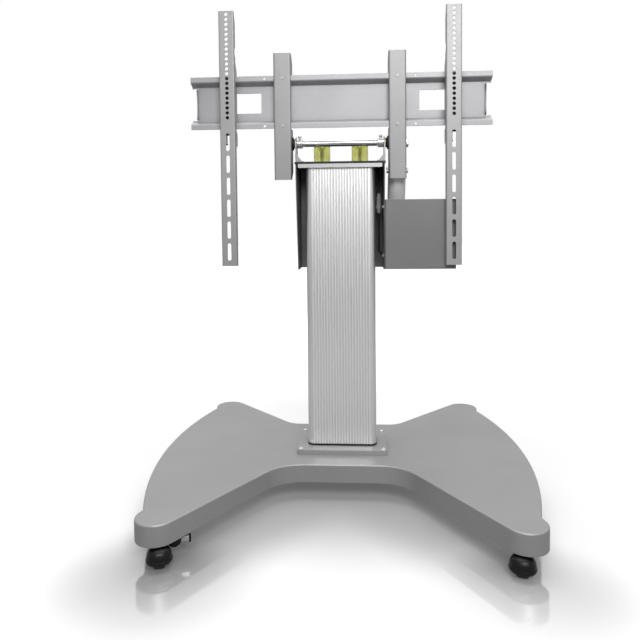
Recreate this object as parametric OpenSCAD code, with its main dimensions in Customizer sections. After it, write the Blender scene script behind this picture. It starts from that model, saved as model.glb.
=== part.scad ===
// Motorized mobile display stand, in millimetres.
// Origin on the floor under the middle of the base, X right, Y to the back, Z up.

/* [Base cover] */
// Widest width of the base, across the bowed sides
base_w = 897; // [860:1:940]
// How far the ear centres lie inside the widest line
ear_in = 89.5; // [84:0.5:96]
// Half distance between the ear centres, front to back
ear_y = 358; // [340:1:380]
// Radius of the four ears
ear_r = 42.5; // [38:0.5:48]
// Radius of the bowed left and right sides
side_r = 1065; // [1000:1:1150]
// Radius of the small notch between an ear and the bowed side
notch_r = 14; // [8:1:25]
// Distance of the neck's front edge from the middle
neck_front = 96; // [85:1:110]
// Distance of the neck's rear edge from the middle
neck_rear = 196; // [170:1:215]
// Half width of the straight front edge, to the corner of its slanted edges
neck_front_x = 142; // [130:1:155]
// Half width of the straight rear edge, to the corner of its slanted edges
neck_rear_x = 147; // [135:1:160]
// Fillet radius at the two front neck corners
front_fillet = 100; // [60:1:130]
// Fillet radius at the two rear neck corners
rear_fillet = 55; // [30:1:90]
// Height of the base's top face above the floor
base_top = 88; // [84:0.5:96]
// Depth of the skirt
skirt_h = 43; // [36:0.5:46]
// Sheet thickness of the cover
cover_t = 2; // [1.5:0.1:3]
// Rounding of the cover's top edge
rim_r = 3; // [2.5:0.1:5]

/* [Frame and casters] */
// Width of the frame's tubes
tube_w = 40; // [34:1:44]
// Height of the frame's tubes
tube_h = 24; // [20:1:26]
// Wall of the frame's tubes
tube_t = 2; // [1.5:0.1:3]
// How far the two long frame tubes lie inside the ear centres
beam_in = 9; // [6:0.5:12]
// How far the long frame tubes run past the ear centres
beam_past = 24; // [18:0.5:26]
// How far a caster's swivel axis lies inside the ear's centre
caster_in = 7; // [4:0.5:10]
// How far a caster's swivel axis lies past the ear's centre, to the front or back
caster_past = 8; // [2:0.5:10]
// Distance from the swivel axis to the wheel's axle
caster_trail = 22; // [19:1:24]
// Wheel radius
wheel_r = 20; // [17:0.5:20]
// Wheel width
wheel_w = 26; // [20:1:30]
// Axle diameter of a caster wheel
axle_d = 8; // [6:0.5:10]
// Thread diameter of a caster's stem
stem_d = 10; // [8:1:12]
// Width of a caster's hood, along the axle
hood_w = 48; // [44:1:54]
// Radial clearance of running fits
run_fit = 0.05; // [0.02:0.01:0.1]

/* [Column] */
// Width of the outer profile
col_w = 172; // [160:1:184]
// Depth of the outer profile
col_d = 86; // [80:1:96]
// Length of the outer profile
col_h = 696; // [640:1:720]
// Wall of the outer profile
col_t = 3.4; // [3:0.1:5]
// Corner radius of the outer profile
col_r = 16; // [10:1:20]
// Distance from the middle of the base back to the column's axis
col_y = 41; // [36:1:46]
// Distance between two flutes
flute_pitch = 7; // [6:0.1:9]
// Number of flutes on the front and the back face
flutes_wide = 20; // [14:1:20]
// Number of flutes on each side face
flutes_side = 7; // [5:1:7]
// Width of one flute
flute_w = 4; // [2:0.1:5]
// Depth of one flute
flute_depth = 0.9; // [0.4:0.1:1.5]
// Wall of the inner profile
inner_t = 3; // [2.5:0.1:4]
// Gap between the two profiles, filled by the glides
glide_gap = 4; // [3:0.1:6]
// Gap between a glide and the inner profile
glide_clear = 0.3; // [0.2:0.05:0.5]
// Thickness of the foot plate
foot_t = 12; // [8:0.5:16]
// Distance of a foot bolt from the column's side
foot_bolt_side = 17; // [14:0.5:22]
// Distance of a foot bolt from the column's front or back
foot_bolt_front = 24.5; // [18:0.5:30]
// Margin of the foot plate around its bolts
foot_margin = 8; // [7:0.5:14]
// Thickness of the rubber gasket under the column
gasket_t = 4; // [3:0.5:8]
// Diameter of the lift screw
screw_d = 14; // [12:0.5:18]
// Travel of the lift
lift_travel = 400; // [300:10:420]

/* [Carriage] */
// Gap between the outer profile's top and the head plate's underside
head_gap = 6; // [4:0.5:10]
// Thickness of the head plate
head_t = 5.5; // [4:0.5:8]
// Half width of the head plate
head_half = 112; // [108:0.5:116]
// Half width of the hood
hood_half = 110; // [104:0.5:112]
// Front edge of the head plate, in front of the column's axis
head_front = 52; // [48:1:58]
// Rear edge of the head plate, behind the column's axis
head_rear = 77; // [70:1:90]
// Height of the hood
hood_h = 265; // [240:1:290]
// Sheet thickness of the hood and the control cover
hood_t = 2; // [1.5:0.1:2.5]
// How far the hood's front edge slants back to its lower end
hood_slant = 45; // [20:1:60]
// Thickness of the pivot ears
ear_t = 3.5; // [3:0.5:5]
// Width of the pivot ears
ear_w = 40; // [34:1:44]
// Height of the tilt shaft above the head plate
shaft_h = 48; // [44:0.5:56]
// Diameter of the tilt shaft
shaft_d = 16; // [14:0.5:20]
// Distance of the tilt shaft in front of the column's axis
shaft_fwd = 16; // [12:0.5:20]
// Diameter of the urethane buffers
buffer_d = 43; // [36:1:46]
// Half distance between the buffers
buffer_x = 49.5; // [42:0.5:60]
// Gap between the buffers and the rail lying on them
buffer_gap = 0.3; // [0.2:0.1:1]

/* [Control cover] */
// Width of the cover's front panel
panel_w = 172; // [160:1:180]
// Height of the cover's front panel
panel_h = 173; // [165:1:180]
// Depth of the cover's side wall
panel_d = 104; // [90:1:115]
// Distance of the panel's front face behind the middle of the base
panel_y = 6; // [5:0.5:8]
// Height of the control unit
unit_h = 138; // [110:1:150]

/* [Head] */
// Half distance between the uprights' centre lines
upright_x = 142; // [140:0.5:146]
// Width of the uprights
upright_w = 43; // [40:0.5:46]
// Steel thickness of the uprights
upright_t = 3; // [2.5:0.5:3.5]
// Depth of the uprights' flanges
upright_d = 44; // [40:0.5:46]
// Length of the uprights
upright_len = 312; // [300:1:330]
// Lower end of the uprights below the tilt shaft
upright_drop = 91; // [88:0.5:95]
// Length of the display rail
rail_len = 744; // [700:2:800]
// Height of the display rail
rail_h = 130; // [120:1:140]
// Steel thickness of the display rail
rail_t = 2.5; // [2:0.1:3]
// Height of the rail's lips
lip_h = 13; // [11:0.5:16]
// Rise of the slanted steps between a lip and the web
step_rise = 8; // [6:0.5:10]
// Lower edge of the rail above the tilt shaft
rail_rise = 36.6; // [34:0.1:42]
// Width of a window in the rail
window_w = 96; // [80:1:110]
// Height of a window in the rail
window_h = 50; // [40:1:60]
// Inner edge of a window, from the middle
window_x = 197; // [190:1:205]
// Tilt pin below the tilt shaft
pin_drop = 67; // [64:0.5:70]
// Tilt pin behind the tilt shaft
pin_back = 6; // [4:0.5:8]
// Diameter of the tilt pin
pin_d = 10; // [8:0.5:12]

/* [Tilt actuator] */
// Largest tilt of the head
tilt_max = 90; // [80:1:90]
// Lower pivot of the actuator below the tilt shaft
pivot_drop = 270; // [266:1:274]
// Lower pivot of the actuator behind the tilt shaft
pivot_back = 118; // [116:1:122]
// Diameter of the actuator's tube
actuator_d = 45; // [42:0.5:46]
// Diameter of the actuator's rod
rod_d = 18; // [14:0.5:20]
// Distance from the tilt pin to the tube's upper end
rod_gap = 14; // [14:0.5:18]

/* [Display arms] */
// Distance of the arms' centre lines from the rail's ends
arm_in = 95; // [72:1:122]
// Length of an arm
arm_len = 627; // [560:1:680]
// Width of an arm
arm_w = 38; // [34:0.5:42]
// Depth of an arm's flanges
arm_d = 16; // [14:0.5:18]
// Steel thickness of the arms
arm_t = 2; // [1.5:0.1:3]
// Upper end of the arms above the rail's upper edge
arm_rise = 156; // [120:1:180]
// Number of round holes in an arm
hole_count = 22; // [10:1:22]
// Distance between two round holes
hole_pitch = 12; // [11:0.5:12.5]
// Diameter of the round holes
hole_d = 8.5; // [6:0.5:9]
// Number of slots in an arm
slot_count = 6; // [3:1:6]
// Distance between two slots
slot_pitch = 54.4; // [52:0.1:56]
// Length of a slot
slot_len = 43; // [36:1:46]

/* [Hidden] */

$fn = 48;
// Cuts run past a face by this much
over = 1;

painted = [0.66, 0.66, 0.65];
dark = [0.16, 0.16, 0.17];
black = [0.07, 0.07, 0.07];
anodised = [0.84, 0.85, 0.86];
steel = [0.72, 0.73, 0.74];
urethane = [0.74, 0.76, 0.40];
panel_grey = [0.50, 0.50, 0.50];
brass = [0.75, 0.62, 0.30];

ear_x = base_w / 2 - ear_in;
rail_x = ear_x - beam_in;
rail_half = ear_y + beam_past;
caster_x = ear_x - caster_in;
caster_y = ear_y + caster_past;
arm_x = rail_len / 2 - arm_in;

// Levels above the floor
frame_top = base_top - cover_t;
frame_bottom = frame_top - tube_h;
foot_top = base_top + foot_t;
col_bottom = foot_top + gasket_t;
col_top = col_bottom + col_h;
head_bottom = col_top + head_gap;
head_top = head_bottom + head_t;
shaft_z = head_top + shaft_h;
shaft_y = col_y - shaft_fwd;
hood_bottom = head_bottom - hood_h;
rail_bottom = shaft_z + rail_rise;
rail_top = rail_bottom + rail_h;

// Depths of the head, from the tilt shaft's axis forward
rail_web_back = shaft_y;
rail_web_front = rail_web_back - rail_t;
rail_recess = 18;
lip_front = rail_web_front - rail_recess;
upright_front = lip_front - upright_t;
arm_gap = 0.5;
arm_front = lip_front - arm_gap - arm_d;

head_y0 = col_y - head_front;
head_y1 = col_y + head_rear;

// Foot plate bolts
foot_bolt_x = col_w / 2 + foot_bolt_side;
foot_bolt_y = col_d / 2 + foot_bolt_front;
foot_bolt_d = 8;

// Inner profile
inner_w = col_w - 2 * (col_t + glide_gap);
inner_d = col_d - 2 * (col_t + glide_gap);
inner_r = max(col_r - col_t - glide_gap, 4);
inner_bottom = foot_top + 14;

// Lift drive, standing on the foot plate inside the column
gearbox_w = 116;
gearbox_d = 54;
gearbox_h = 46;
screw_x = 32;
motor_x = -28;
motor_r = 24;
motor_h = 120;
nut_z = foot_top + gearbox_h + motor_h + 26;
nut_h = 40;
screw_top = min(nut_z + nut_h + lift_travel + 16, head_bottom - 20);
drive_rise = 6;

// Tilt actuator, from its pin up in the right upright to its lower pivot. The lower pin is loose
// in a slot and comes to the slot's upper end at both ends of the tilt.
function pin_at(t) = [
    shaft_y + pin_back * cos(t) - pin_drop * sin(t),
    shaft_z - pin_back * sin(t) - pin_drop * cos(t)
];
pin_y = pin_at(0)[0];
pin_z = pin_at(0)[1];
pivot_y = shaft_y + pivot_back;
pivot_z = shaft_z - pivot_drop;
pivot_from = [pivot_y, pivot_z] - pin_at(0);
pivot_end = [pivot_y, pivot_z] - pin_at(tilt_max);
rod_len = norm(pivot_from);
rod_lean = atan2(pivot_from[0], -pivot_from[1]);
rod_len_max = norm(pivot_end);
lean_max = atan2(pivot_end[0], -pivot_end[1]);
fork_len = 34;
fork_r = 12;
// How much of the rod is inside the tube, at rest
rod_tail = rod_len_max - rod_len + 58;

// Where the loose lower pin goes while the coupled joints run at constant ratios
function lean_at(t) = rod_lean + (lean_max - rod_lean) * t / tilt_max;
function reach_at(t) = rod_len + (rod_len_max - rod_len) * t / tilt_max;
function lower_at(t) = pin_at(t) + reach_at(t) * [sin(lean_at(t)), -cos(lean_at(t))];
slot_far = lower_at(tilt_max * 0.45);

// Rest directions of the four casters, from the swivel axis to the axle
caster_dir = [-72, -108, 72, 108];
// Lower end of the pin a caster turns on
swivel_pin_z = 37;
// Wall between a wheel and the hood's outside
hood_wall = 3;

function arc(c, r, a0, a1, n) = [for (i = [0:n]) let (a = a0 + (a1 - a0) * i / n) c + r * [cos(a), sin(a)]];
function flip_y(p) = [for (i = [len(p) - 1:-1:0]) [p[i][0], -p[i][1]]];
function flip_x(p) = [for (i = [len(p) - 1:-1:0]) [-p[i][0], p[i][1]]];

// One quarter of the base outline, drawn in by d, from the neck's edge to the bowed side
function quarter(neck, corner_x, fillet, d) =
    let (
        corner = [corner_x, -neck],
        ear = [ear_x, -ear_y],
        v = ear - corner,
        beta = atan2(v[1], v[0]) - asin(ear_r / norm(v)),
        fillet_c = corner + [-fillet * tan(-beta / 2), -fillet],
        side_c = [base_w / 2 - side_r, 0],
        span = ear - side_c,
        reach = norm(span),
        r_ear = ear_r + notch_r,
        r_side = side_r + notch_r,
        bend = acos((reach * reach + r_side * r_side - r_ear * r_ear) / (2 * reach * r_side)),
        a_side = atan2(span[1], span[0]) + bend,
        notch_c = side_c + r_side * [cos(a_side), sin(a_side)],
        to_notch = notch_c - ear,
        a_ear = atan2(to_notch[1], to_notch[0])
    )
    concat(
        [[0, -neck + d]],
        arc(fillet_c, fillet + d, 90, 90 + beta, 8),
        arc(ear, ear_r - d, beta - 90, a_ear, 22),
        arc(notch_c, notch_r + d, a_ear + 180, a_side + 180, 4),
        arc(side_c, side_r - d, a_side, -0.6, 12)
    );

function base_half(d) = concat(
    quarter(neck_front, neck_front_x, front_fillet, d),
    flip_y(quarter(neck_rear, neck_rear_x, rear_fillet, d))
);
function inside(p) = [for (i = [1:len(p) - 2]) p[i]];
function base_outline(d) = concat(base_half(d), inside(flip_x(base_half(d))));

// A closed solid through rings of equally many points
module loft(rings) {
    n = len(rings[0]);
    m = len(rings);
    polyhedron(
        points = [for (ring = rings) for (p = ring) p],
        faces = concat(
            [[for (i = [n - 1:-1:0]) i]],
            [[for (i = [0:n - 1]) (m - 1) * n + i]],
            [for (k = [0:m - 2]) for (i = [0:n - 1])
                let (j = (i + 1) % n)
                [k * n + i, k * n + j, (k + 1) * n + j, (k + 1) * n + i]]
        ),
        convexity = 8
    );
}

function level(points, z) = [for (p = points) [p[0], p[1], z]];

// A rectangle with rounded corners, centred
module rounded(w, d, r) {
    union() {
        square([w - 2 * r, d], center = true);
        square([w, d - 2 * r], center = true);
        for (sx = [-1, 1], sy = [-1, 1])
            translate([sx * (w / 2 - r), sy * (d / 2 - r)]) circle(r);
    }
}

module bar_x(d, x0, x1, y, z) {
    translate([x0, y, z]) rotate([0, 90, 0]) cylinder(d = d, h = x1 - x0);
}

module bar_y(d, x, y0, y1, z) {
    translate([x, y0, z]) rotate([-90, 0, 0]) cylinder(d = d, h = y1 - y0);
}

module nut_x(across, x0, x1, y, z) {
    translate([x0, y, z]) rotate([0, 90, 0]) cylinder(d = across / cos(30), h = x1 - x0, $fn = 6);
}

// Cross-section of a sheet bent along a path: t thick, with inner bend radius r
function left_of(d) = [-d[1], d[0]];
function turned(d, a) = [d[0] * cos(a) - d[1] * sin(a), d[0] * sin(a) + d[1] * cos(a)];
function sheet_side(p, shift, r, n) = concat(
    [p[0] + shift * left_of(unit(p[1] - p[0]))],
    [for (i = [1:len(p) - 2])
        let (
            d1 = unit(p[i] - p[i - 1]),
            d2 = unit(p[i + 1] - p[i]),
            s = d1[0] * d2[1] - d1[1] * d2[0] > 0 ? 1 : -1,
            bend = acos(d1 * d2),
            centre = p[i] - r * tan(bend / 2) * d1 + s * r * left_of(d1)
        )
        for (k = [0:n])
            centre - s * (r - s * shift) * left_of(turned(d1, s * bend * k / n))],
    [p[len(p) - 1] + shift * left_of(unit(p[len(p) - 1] - p[len(p) - 2]))]
);
module bent_sheet(path, t, r, n = 4) {
    other = sheet_side(path, -t / 2, r + t / 2, n);
    polygon(concat(
        sheet_side(path, t / 2, r + t / 2, n),
        [for (i = [len(other) - 1:-1:0]) other[i]]
    ));
}

// A side profile in (Y, Z) given a thickness along X
module plate_x(points, x0, x1) {
    translate([x0, 0, 0]) rotate([90, 0, 90]) linear_extrude(x1 - x0) polygon(points);
}

module each_foot_bolt() {
    for (sx = [-1, 1], sy = [-1, 1])
        translate([sx * foot_bolt_x, col_y + sy * foot_bolt_y, 0]) children();
}

module each_caster() {
    for (sx = [-1, 1], sy = [-1, 1])
        translate([sx * caster_x, sy * caster_y, 0]) children();
}

// Base

// Pressed shell: rings run down the inside of the skirt, then up its outside and over the rim
module base_cover() {
    steps = 4;
    color(painted) loft(concat(
        [
            level(base_outline(cover_t), base_top - cover_t),
            level(base_outline(cover_t), base_top - skirt_h),
            level(base_outline(0), base_top - skirt_h)
        ],
        [for (i = [0:steps])
            let (a = 90 * i / steps)
            level(base_outline(rim_r * (1 - cos(a))), base_top - rim_r * (1 - sin(a)))]
    ));
}

module base_frame() {
    beam_y = [col_y - foot_bolt_y, col_y + foot_bolt_y];
    mid = (frame_top + frame_bottom) / 2;
    color(dark) difference() {
        union() {
            for (sx = [-1, 1])
                translate([sx * rail_x, 0, mid]) cube([tube_w, 2 * rail_half, tube_h], center = true);
            for (y = beam_y)
                translate([0, y, mid]) cube([2 * rail_x, tube_w, tube_h], center = true);
        }
        for (sx = [-1, 1])
            translate([sx * rail_x, 0, mid])
                cube([tube_w - 2 * tube_t, 2 * rail_half + over, tube_h - 2 * tube_t], center = true);
        for (y = beam_y)
            translate([0, y, mid])
                cube([2 * rail_x, tube_w - 2 * tube_t, tube_h - 2 * tube_t], center = true);
        each_caster() translate([0, 0, frame_bottom - over]) cylinder(d = stem_d + 8, h = tube_h);
    }
    color(dark) difference() {
        each_caster() translate([0, 0, frame_bottom]) cylinder(d = stem_d + 12, h = tube_h - tube_t);
        each_caster() translate([0, 0, frame_bottom - over]) cylinder(d = stem_d, h = tube_h + over);
    }
}

module foot_plate() {
    w = 2 * (foot_bolt_x + foot_margin);
    d = 2 * (foot_bolt_y + foot_margin);
    color(painted) difference() {
        translate([0, col_y, base_top]) linear_extrude(foot_t) rounded(w, d, 3);
        each_foot_bolt() translate([0, 0, base_top - over])
            cylinder(d = foot_bolt_d + 1, h = foot_t + 2 * over);
    }
}

module foot_bolts() {
    head_d = foot_bolt_d * 1.6;
    head_h = foot_bolt_d * 0.45;
    color(steel) each_foot_bolt() difference() {
        union() {
            translate([0, 0, base_top]) cylinder(d = foot_bolt_d, h = foot_t);
            translate([0, 0, foot_top]) cylinder(d = head_d, h = head_h * 0.4);
            translate([0, 0, foot_top + head_h * 0.4])
                cylinder(d1 = head_d, d2 = head_d * 0.7, h = head_h * 0.6);
        }
        translate([0, 0, foot_top + head_h * 0.3]) cylinder(d = foot_bolt_d * 0.6, h = head_h, $fn = 6);
    }
}

module column_gasket() {
    color(black) translate([0, col_y, foot_top]) linear_extrude(gasket_t) difference() {
        rounded(col_w + 2, col_d + 2, col_r + 1);
        rounded(col_w - 4 * col_t, col_d - 4 * col_t, col_r - 2 * col_t);
    }
}

// A row of shallow round flutes along X at the face y = 0
module flute_row(count) {
    r = (flute_w * flute_w / 4 + flute_depth * flute_depth) / (2 * flute_depth);
    for (i = [0:count - 1])
        translate([(i - (count - 1) / 2) * flute_pitch, r - flute_depth]) circle(r);
}

module column_outer() {
    color(anodised) translate([0, col_y, col_bottom]) linear_extrude(col_h) difference() {
        rounded(col_w, col_d, col_r);
        rounded(col_w - 2 * col_t, col_d - 2 * col_t, col_r - col_t);
        for (turn = [0, 180])
            rotate(turn) translate([0, col_d / 2]) flute_row(flutes_wide);
        for (turn = [90, -90])
            rotate(turn) translate([0, col_w / 2]) flute_row(flutes_side);
    }
}

// Four glides near the top of the outer profile, on each of its inner faces
module column_glides() {
    t = glide_gap - glide_clear;
    glide_h = 180;
    glide_w = 40;
    z = col_top - glide_h - 12;
    color("white") {
        for (sx = [-1, 1], x = [-44, 44])
            translate([x - glide_w / 2, col_y + (sx > 0 ? col_d / 2 - col_t - t : -col_d / 2 + col_t), z])
                cube([glide_w, t, glide_h]);
        for (sx = [-1, 1])
            translate([sx > 0 ? col_w / 2 - col_t - t : -col_w / 2 + col_t, col_y - glide_w / 2, z])
                cube([t, glide_w, glide_h]);
    }
}

module lift_gearbox() {
    bore = screw_d * 0.7 + 2 * run_fit;
    color(dark) difference() {
        union() {
            translate([0, col_y, foot_top]) linear_extrude(gearbox_h) rounded(gearbox_w, gearbox_d, 8);
            translate([screw_x, col_y, foot_top + gearbox_h]) cylinder(d = screw_d + 12, h = drive_rise);
        }
        translate([screw_x, col_y, foot_top + 8]) cylinder(d = bore, h = gearbox_h + drive_rise);
    }
}

module lift_motor() {
    z = foot_top + gearbox_h;
    color(steel) union() {
        translate([motor_x, col_y, z]) cylinder(r = motor_r, h = motor_h);
        translate([motor_x, col_y, z + motor_h]) cylinder(r = motor_r * 0.4, h = 8);
    }
}

module caster_stems() {
    color(steel) each_caster() union() {
        translate([0, 0, frame_bottom]) cylinder(d = stem_d, h = tube_h - tube_t);
        translate([0, 0, frame_bottom - 4]) cylinder(d = (stem_d + 7) / cos(30), h = 4, $fn = 6);
        translate([0, 0, swivel_pin_z]) cylinder(d = axle_d, h = frame_bottom - swivel_pin_z);
    }
}

module lift_spindle() {
    z = foot_top + 10;
    journal = foot_top + gearbox_h + drive_rise + 0.3;
    color(steel) translate([screw_x, col_y, 0]) union() {
        translate([0, 0, z]) cylinder(d = screw_d * 0.7, h = screw_top - z);
        translate([0, 0, journal]) cylinder(d = screw_d, h = screw_top - journal);
    }
}

// Carriage

module column_inner() {
    h = head_bottom - inner_bottom;
    color(anodised) translate([0, col_y, inner_bottom]) linear_extrude(h) difference() {
        rounded(inner_w, inner_d, inner_r);
        rounded(inner_w - 2 * inner_t, inner_d - 2 * inner_t, inner_r - 1);
    }
}

// Nut with a cross plate that carries the inner profile
module spindle_nut() {
    w = inner_w - 2 * inner_t;
    d = inner_d - 2 * inner_t;
    color(brass) difference() {
        union() {
            translate([0, col_y, nut_z]) linear_extrude(10) rounded(w, d, inner_r - 1);
            translate([screw_x, col_y, nut_z]) cylinder(d = screw_d + 16, h = nut_h);
        }
        translate([screw_x, col_y, nut_z - over]) cylinder(d = screw_d + 2 * run_fit, h = nut_h + 2 * over);
    }
}

module each_top_screw() {
    for (sx = [-1, 1], sy = [-1, 1])
        translate([sx * (inner_w / 2 - 18.6), col_y + sy * (inner_d / 2 - 9), 0]) children();
}

module top_plate() {
    color(black) difference() {
        translate([-head_half, head_y0, head_bottom]) cube([2 * head_half, head_y1 - head_y0, head_t]);
        each_top_screw() translate([0, 0, head_bottom - over]) cylinder(d = 6, h = head_t + 2 * over);
    }
}

module top_plate_screws() {
    color(steel) each_top_screw() union() {
        translate([0, 0, head_bottom]) cylinder(d = 6, h = head_t);
        translate([0, 0, head_top]) cylinder(d = 10, h = 2.4);
    }
}

module front_strip() {
    w = 207;
    color(anodised) union() {
        translate([-w / 2, head_y0, head_bottom - 9.5]) cube([w, 2, 9.5]);
        translate([-w / 2, head_y0, head_bottom - 2]) cube([w, 16, 2]);
    }
}

// Sides and back of the carriage, bent from one sheet, with flanges under the head plate
module carriage_hood() {
    y1 = head_y1 - 2;
    x = hood_half - hood_t / 2;
    wrap = [[-x, head_y0 - 5], [-x, y1 - hood_t / 2], [x, y1 - hood_t / 2], [x, head_y0 - 5]];
    side = [
        [head_y0, head_bottom], [head_y0, head_bottom - 22],
        [head_y0 + hood_slant, hood_bottom], [y1, hood_bottom], [y1, head_bottom]
    ];
    color(dark) difference() {
        union() {
            intersection() {
                translate([0, 0, hood_bottom]) linear_extrude(hood_h) bent_sheet(wrap, hood_t, 2);
                plate_x(side, -hood_half - over, hood_half + over);
            }
            for (sx = [-1, 1])
                translate([sx > 0 ? hood_half - 14 : -hood_half + hood_t / 2, col_y, head_bottom - hood_t])
                    cube([14 - hood_t / 2, y1 - col_y - 4, hood_t]);
        }
        bar_x(9, hood_half - 5, hood_half + over, lead_y, lead_z);
        translate([gap_x, lead_upper[0][1], head_bottom - 5]) cylinder(d = lead_d + 2, h = 6);
        for (p = screw_at) bar_x(5, hood_half - 5, hood_half + over, p[0], p[1]);
    }
}

// An ear on the head plate: bent foot, two gussets and the bore for its bush
module pivot_ear(side) {
    foot = 17;
    top_r = 16;
    y0 = shaft_y - ear_w / 2;
    x1 = head_half;
    x0 = x1 - ear_t;
    path = [
        [x0 - foot, head_top + ear_t / 2], [x1 - ear_t / 2, head_top + ear_t / 2],
        [x1 - ear_t / 2, shaft_z + top_r]
    ];
    profile = concat(
        [[y0, head_top], [y0 + ear_w, head_top]],
        arc([shaft_y, shaft_z], top_r, 0, 180, 24)
    );
    color(painted) mirror([side < 0 ? 1 : 0, 0, 0]) difference() {
        union() {
            intersection() {
                translate([0, y0 + ear_w, 0]) rotate([90, 0, 0]) linear_extrude(ear_w)
                    bent_sheet(path, ear_t, 3);
                plate_x(profile, x0 - foot, x1);
            }
            for (y = [y0, y0 + ear_w - 3])
                translate([0, y + 3, 0]) rotate([90, 0, 0]) linear_extrude(3)
                    polygon([
                        [x0 + 1, head_top + 1], [x0 - 13, head_top + 1],
                        [x0 - 13, head_top + ear_t], [x0 + 1, head_top + 20]
                    ]);
        }
        bar_x(shaft_d + 4, x0 - over, x1 + over, shaft_y, shaft_z);
    }
}

module pivot_ear_left() { pivot_ear(-1); }
module pivot_ear_right() { pivot_ear(1); }

module pivot_bushes() {
    x0 = head_half - ear_t;
    color(brass) for (side = [0, 1]) mirror([side, 0, 0]) difference() {
        union() {
            bar_x(shaft_d + 4, x0, head_half, shaft_y, shaft_z);
            bar_x(shaft_d + 8, head_half, head_half + 1, shaft_y, shaft_z);
        }
        bar_x(shaft_d + 2 * run_fit, x0 - over, head_half + 1 + over, shaft_y, shaft_z);
    }
}

// The buffers stand where the rail's web lies on them at full tilt
buffer_y = shaft_y + rail_rise + lip_h + buffer_d / 2 - 1;
buffer_h = shaft_z - (rail_web_back - shaft_y) - buffer_gap - head_top;

module tilt_bumpers() {
    color(urethane) for (sx = [-1, 1]) translate([sx * buffer_x, buffer_y, head_top]) difference() {
        cylinder(d = buffer_d, h = buffer_h);
        translate([0, 0, -over]) cylinder(d = 8.6, h = buffer_h + 2 * over);
        translate([0, 0, buffer_h - 8]) cylinder(d = 18, h = 8 + over);
    }
}

module bumper_bolts() {
    color(dark) for (sx = [-1, 1]) translate([sx * buffer_x, buffer_y, head_top]) union() {
        cylinder(d = 8, h = buffer_h - 8);
        translate([0, 0, buffer_h - 8]) cylinder(d = 13, h = 5.5);
    }
}

// Control cover: front panel, left flange on the hood, right wall, foot under the control unit
panel_x0 = hood_half + 3;
panel_top = hood_bottom + 3 + panel_h;
panel_z0 = hood_bottom + 3;
// Cover screws as (Y, Z), just behind the hood's slanted front edge
screw_at = [[panel_y + 11, panel_top - 17], [panel_y + 35, panel_z0 + 33]];
flange_d = 60;

module control_cover() {
    t = hood_t;
    x1 = panel_x0 + panel_w;
    path = [
        [hood_half + t / 2, panel_y + flange_d], [hood_half + t / 2, panel_y + t / 2],
        [x1 - t / 2, panel_y + t / 2], [x1 - t / 2, panel_y + panel_d]
    ];
    foot = [
        [panel_y + t / 2, panel_z0 + 12], [panel_y + t / 2, panel_z0 + t / 2],
        [panel_y + panel_d, panel_z0 + t / 2]
    ];
    color(panel_grey) difference() {
        union() {
            difference() {
                translate([0, 0, panel_z0]) linear_extrude(panel_h) bent_sheet(path, t, 1.5);
                // The sheet of the foot runs on round the panel's lower edge
                translate([unit_x0 - 4, panel_y - over, panel_z0 - over])
                    cube([x1 - t - unit_x0 + 4, 2 * over + t, 4 + over]);
            }
            translate([unit_x0 - 4, 0, 0]) rotate([90, 0, 90])
                linear_extrude(x1 - t - 0.5 - unit_x0 + 4) bent_sheet(foot, t, 1.5);
        }
        for (p = screw_at) bar_x(5, hood_half - over, hood_half + t + over, p[0], p[1]);
        bar_x(9, hood_half - 5, hood_half + t + over, lead_y, lead_z);
        translate([unit_x0 + 22, panel_y + 34, panel_z0 - over]) cube([30, 24, t + 2 * over]);
    }
}

module cover_screws() {
    color(steel) for (p = screw_at) union() {
        bar_x(5, hood_half - hood_t - 3.5, hood_half + hood_t, p[0], p[1]);
        bar_x(9, hood_half + hood_t, hood_half + hood_t + 2.6, p[0], p[1]);
        nut_x(8, hood_half - hood_t - 3, hood_half - hood_t, p[0], p[1]);
    }
}

// Control unit standing on the cover's foot
unit_w = 70;
unit_d = 76;
unit_x0 = panel_x0 + panel_w - hood_t - 1 - unit_w;
unit_y0 = panel_y + hood_t + 5;

module control_box() {
    z0 = panel_z0 + hood_t;
    color(dark) difference() {
        union() {
            translate([unit_x0 + unit_w / 2, unit_y0 + unit_d / 2, z0])
                linear_extrude(unit_h) rounded(unit_w, unit_d, 4);
            for (i = [0:7])
                translate([unit_x0 + 8, unit_y0 + unit_d - over, z0 + 24 + 12 * i]) cube([unit_w - 16, 3, 5]);
        }
        translate([unit_x0 + 23, panel_y + 35, z0 - over]) cube([28, 22, 22]);
        bar_x(7, unit_x0 - over, unit_x0 + 12, lead_y, lead_z);
    }
}

module mains_inlet() {
    z0 = panel_z0 + hood_t;
    color(black) difference() {
        translate([unit_x0 + 23, panel_y + 35, z0]) cube([28, 22, 21]);
        translate([unit_x0 + 25, panel_y + 37, z0 - over]) cube([24, 18, 16]);
    }
    color(steel) for (x = [-7, 0, 7])
        translate([unit_x0 + 37 + x - 1, panel_y + (x == 0 ? 48 : 42), z0 + 6]) cube([2, 4, 10]);
}

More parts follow.
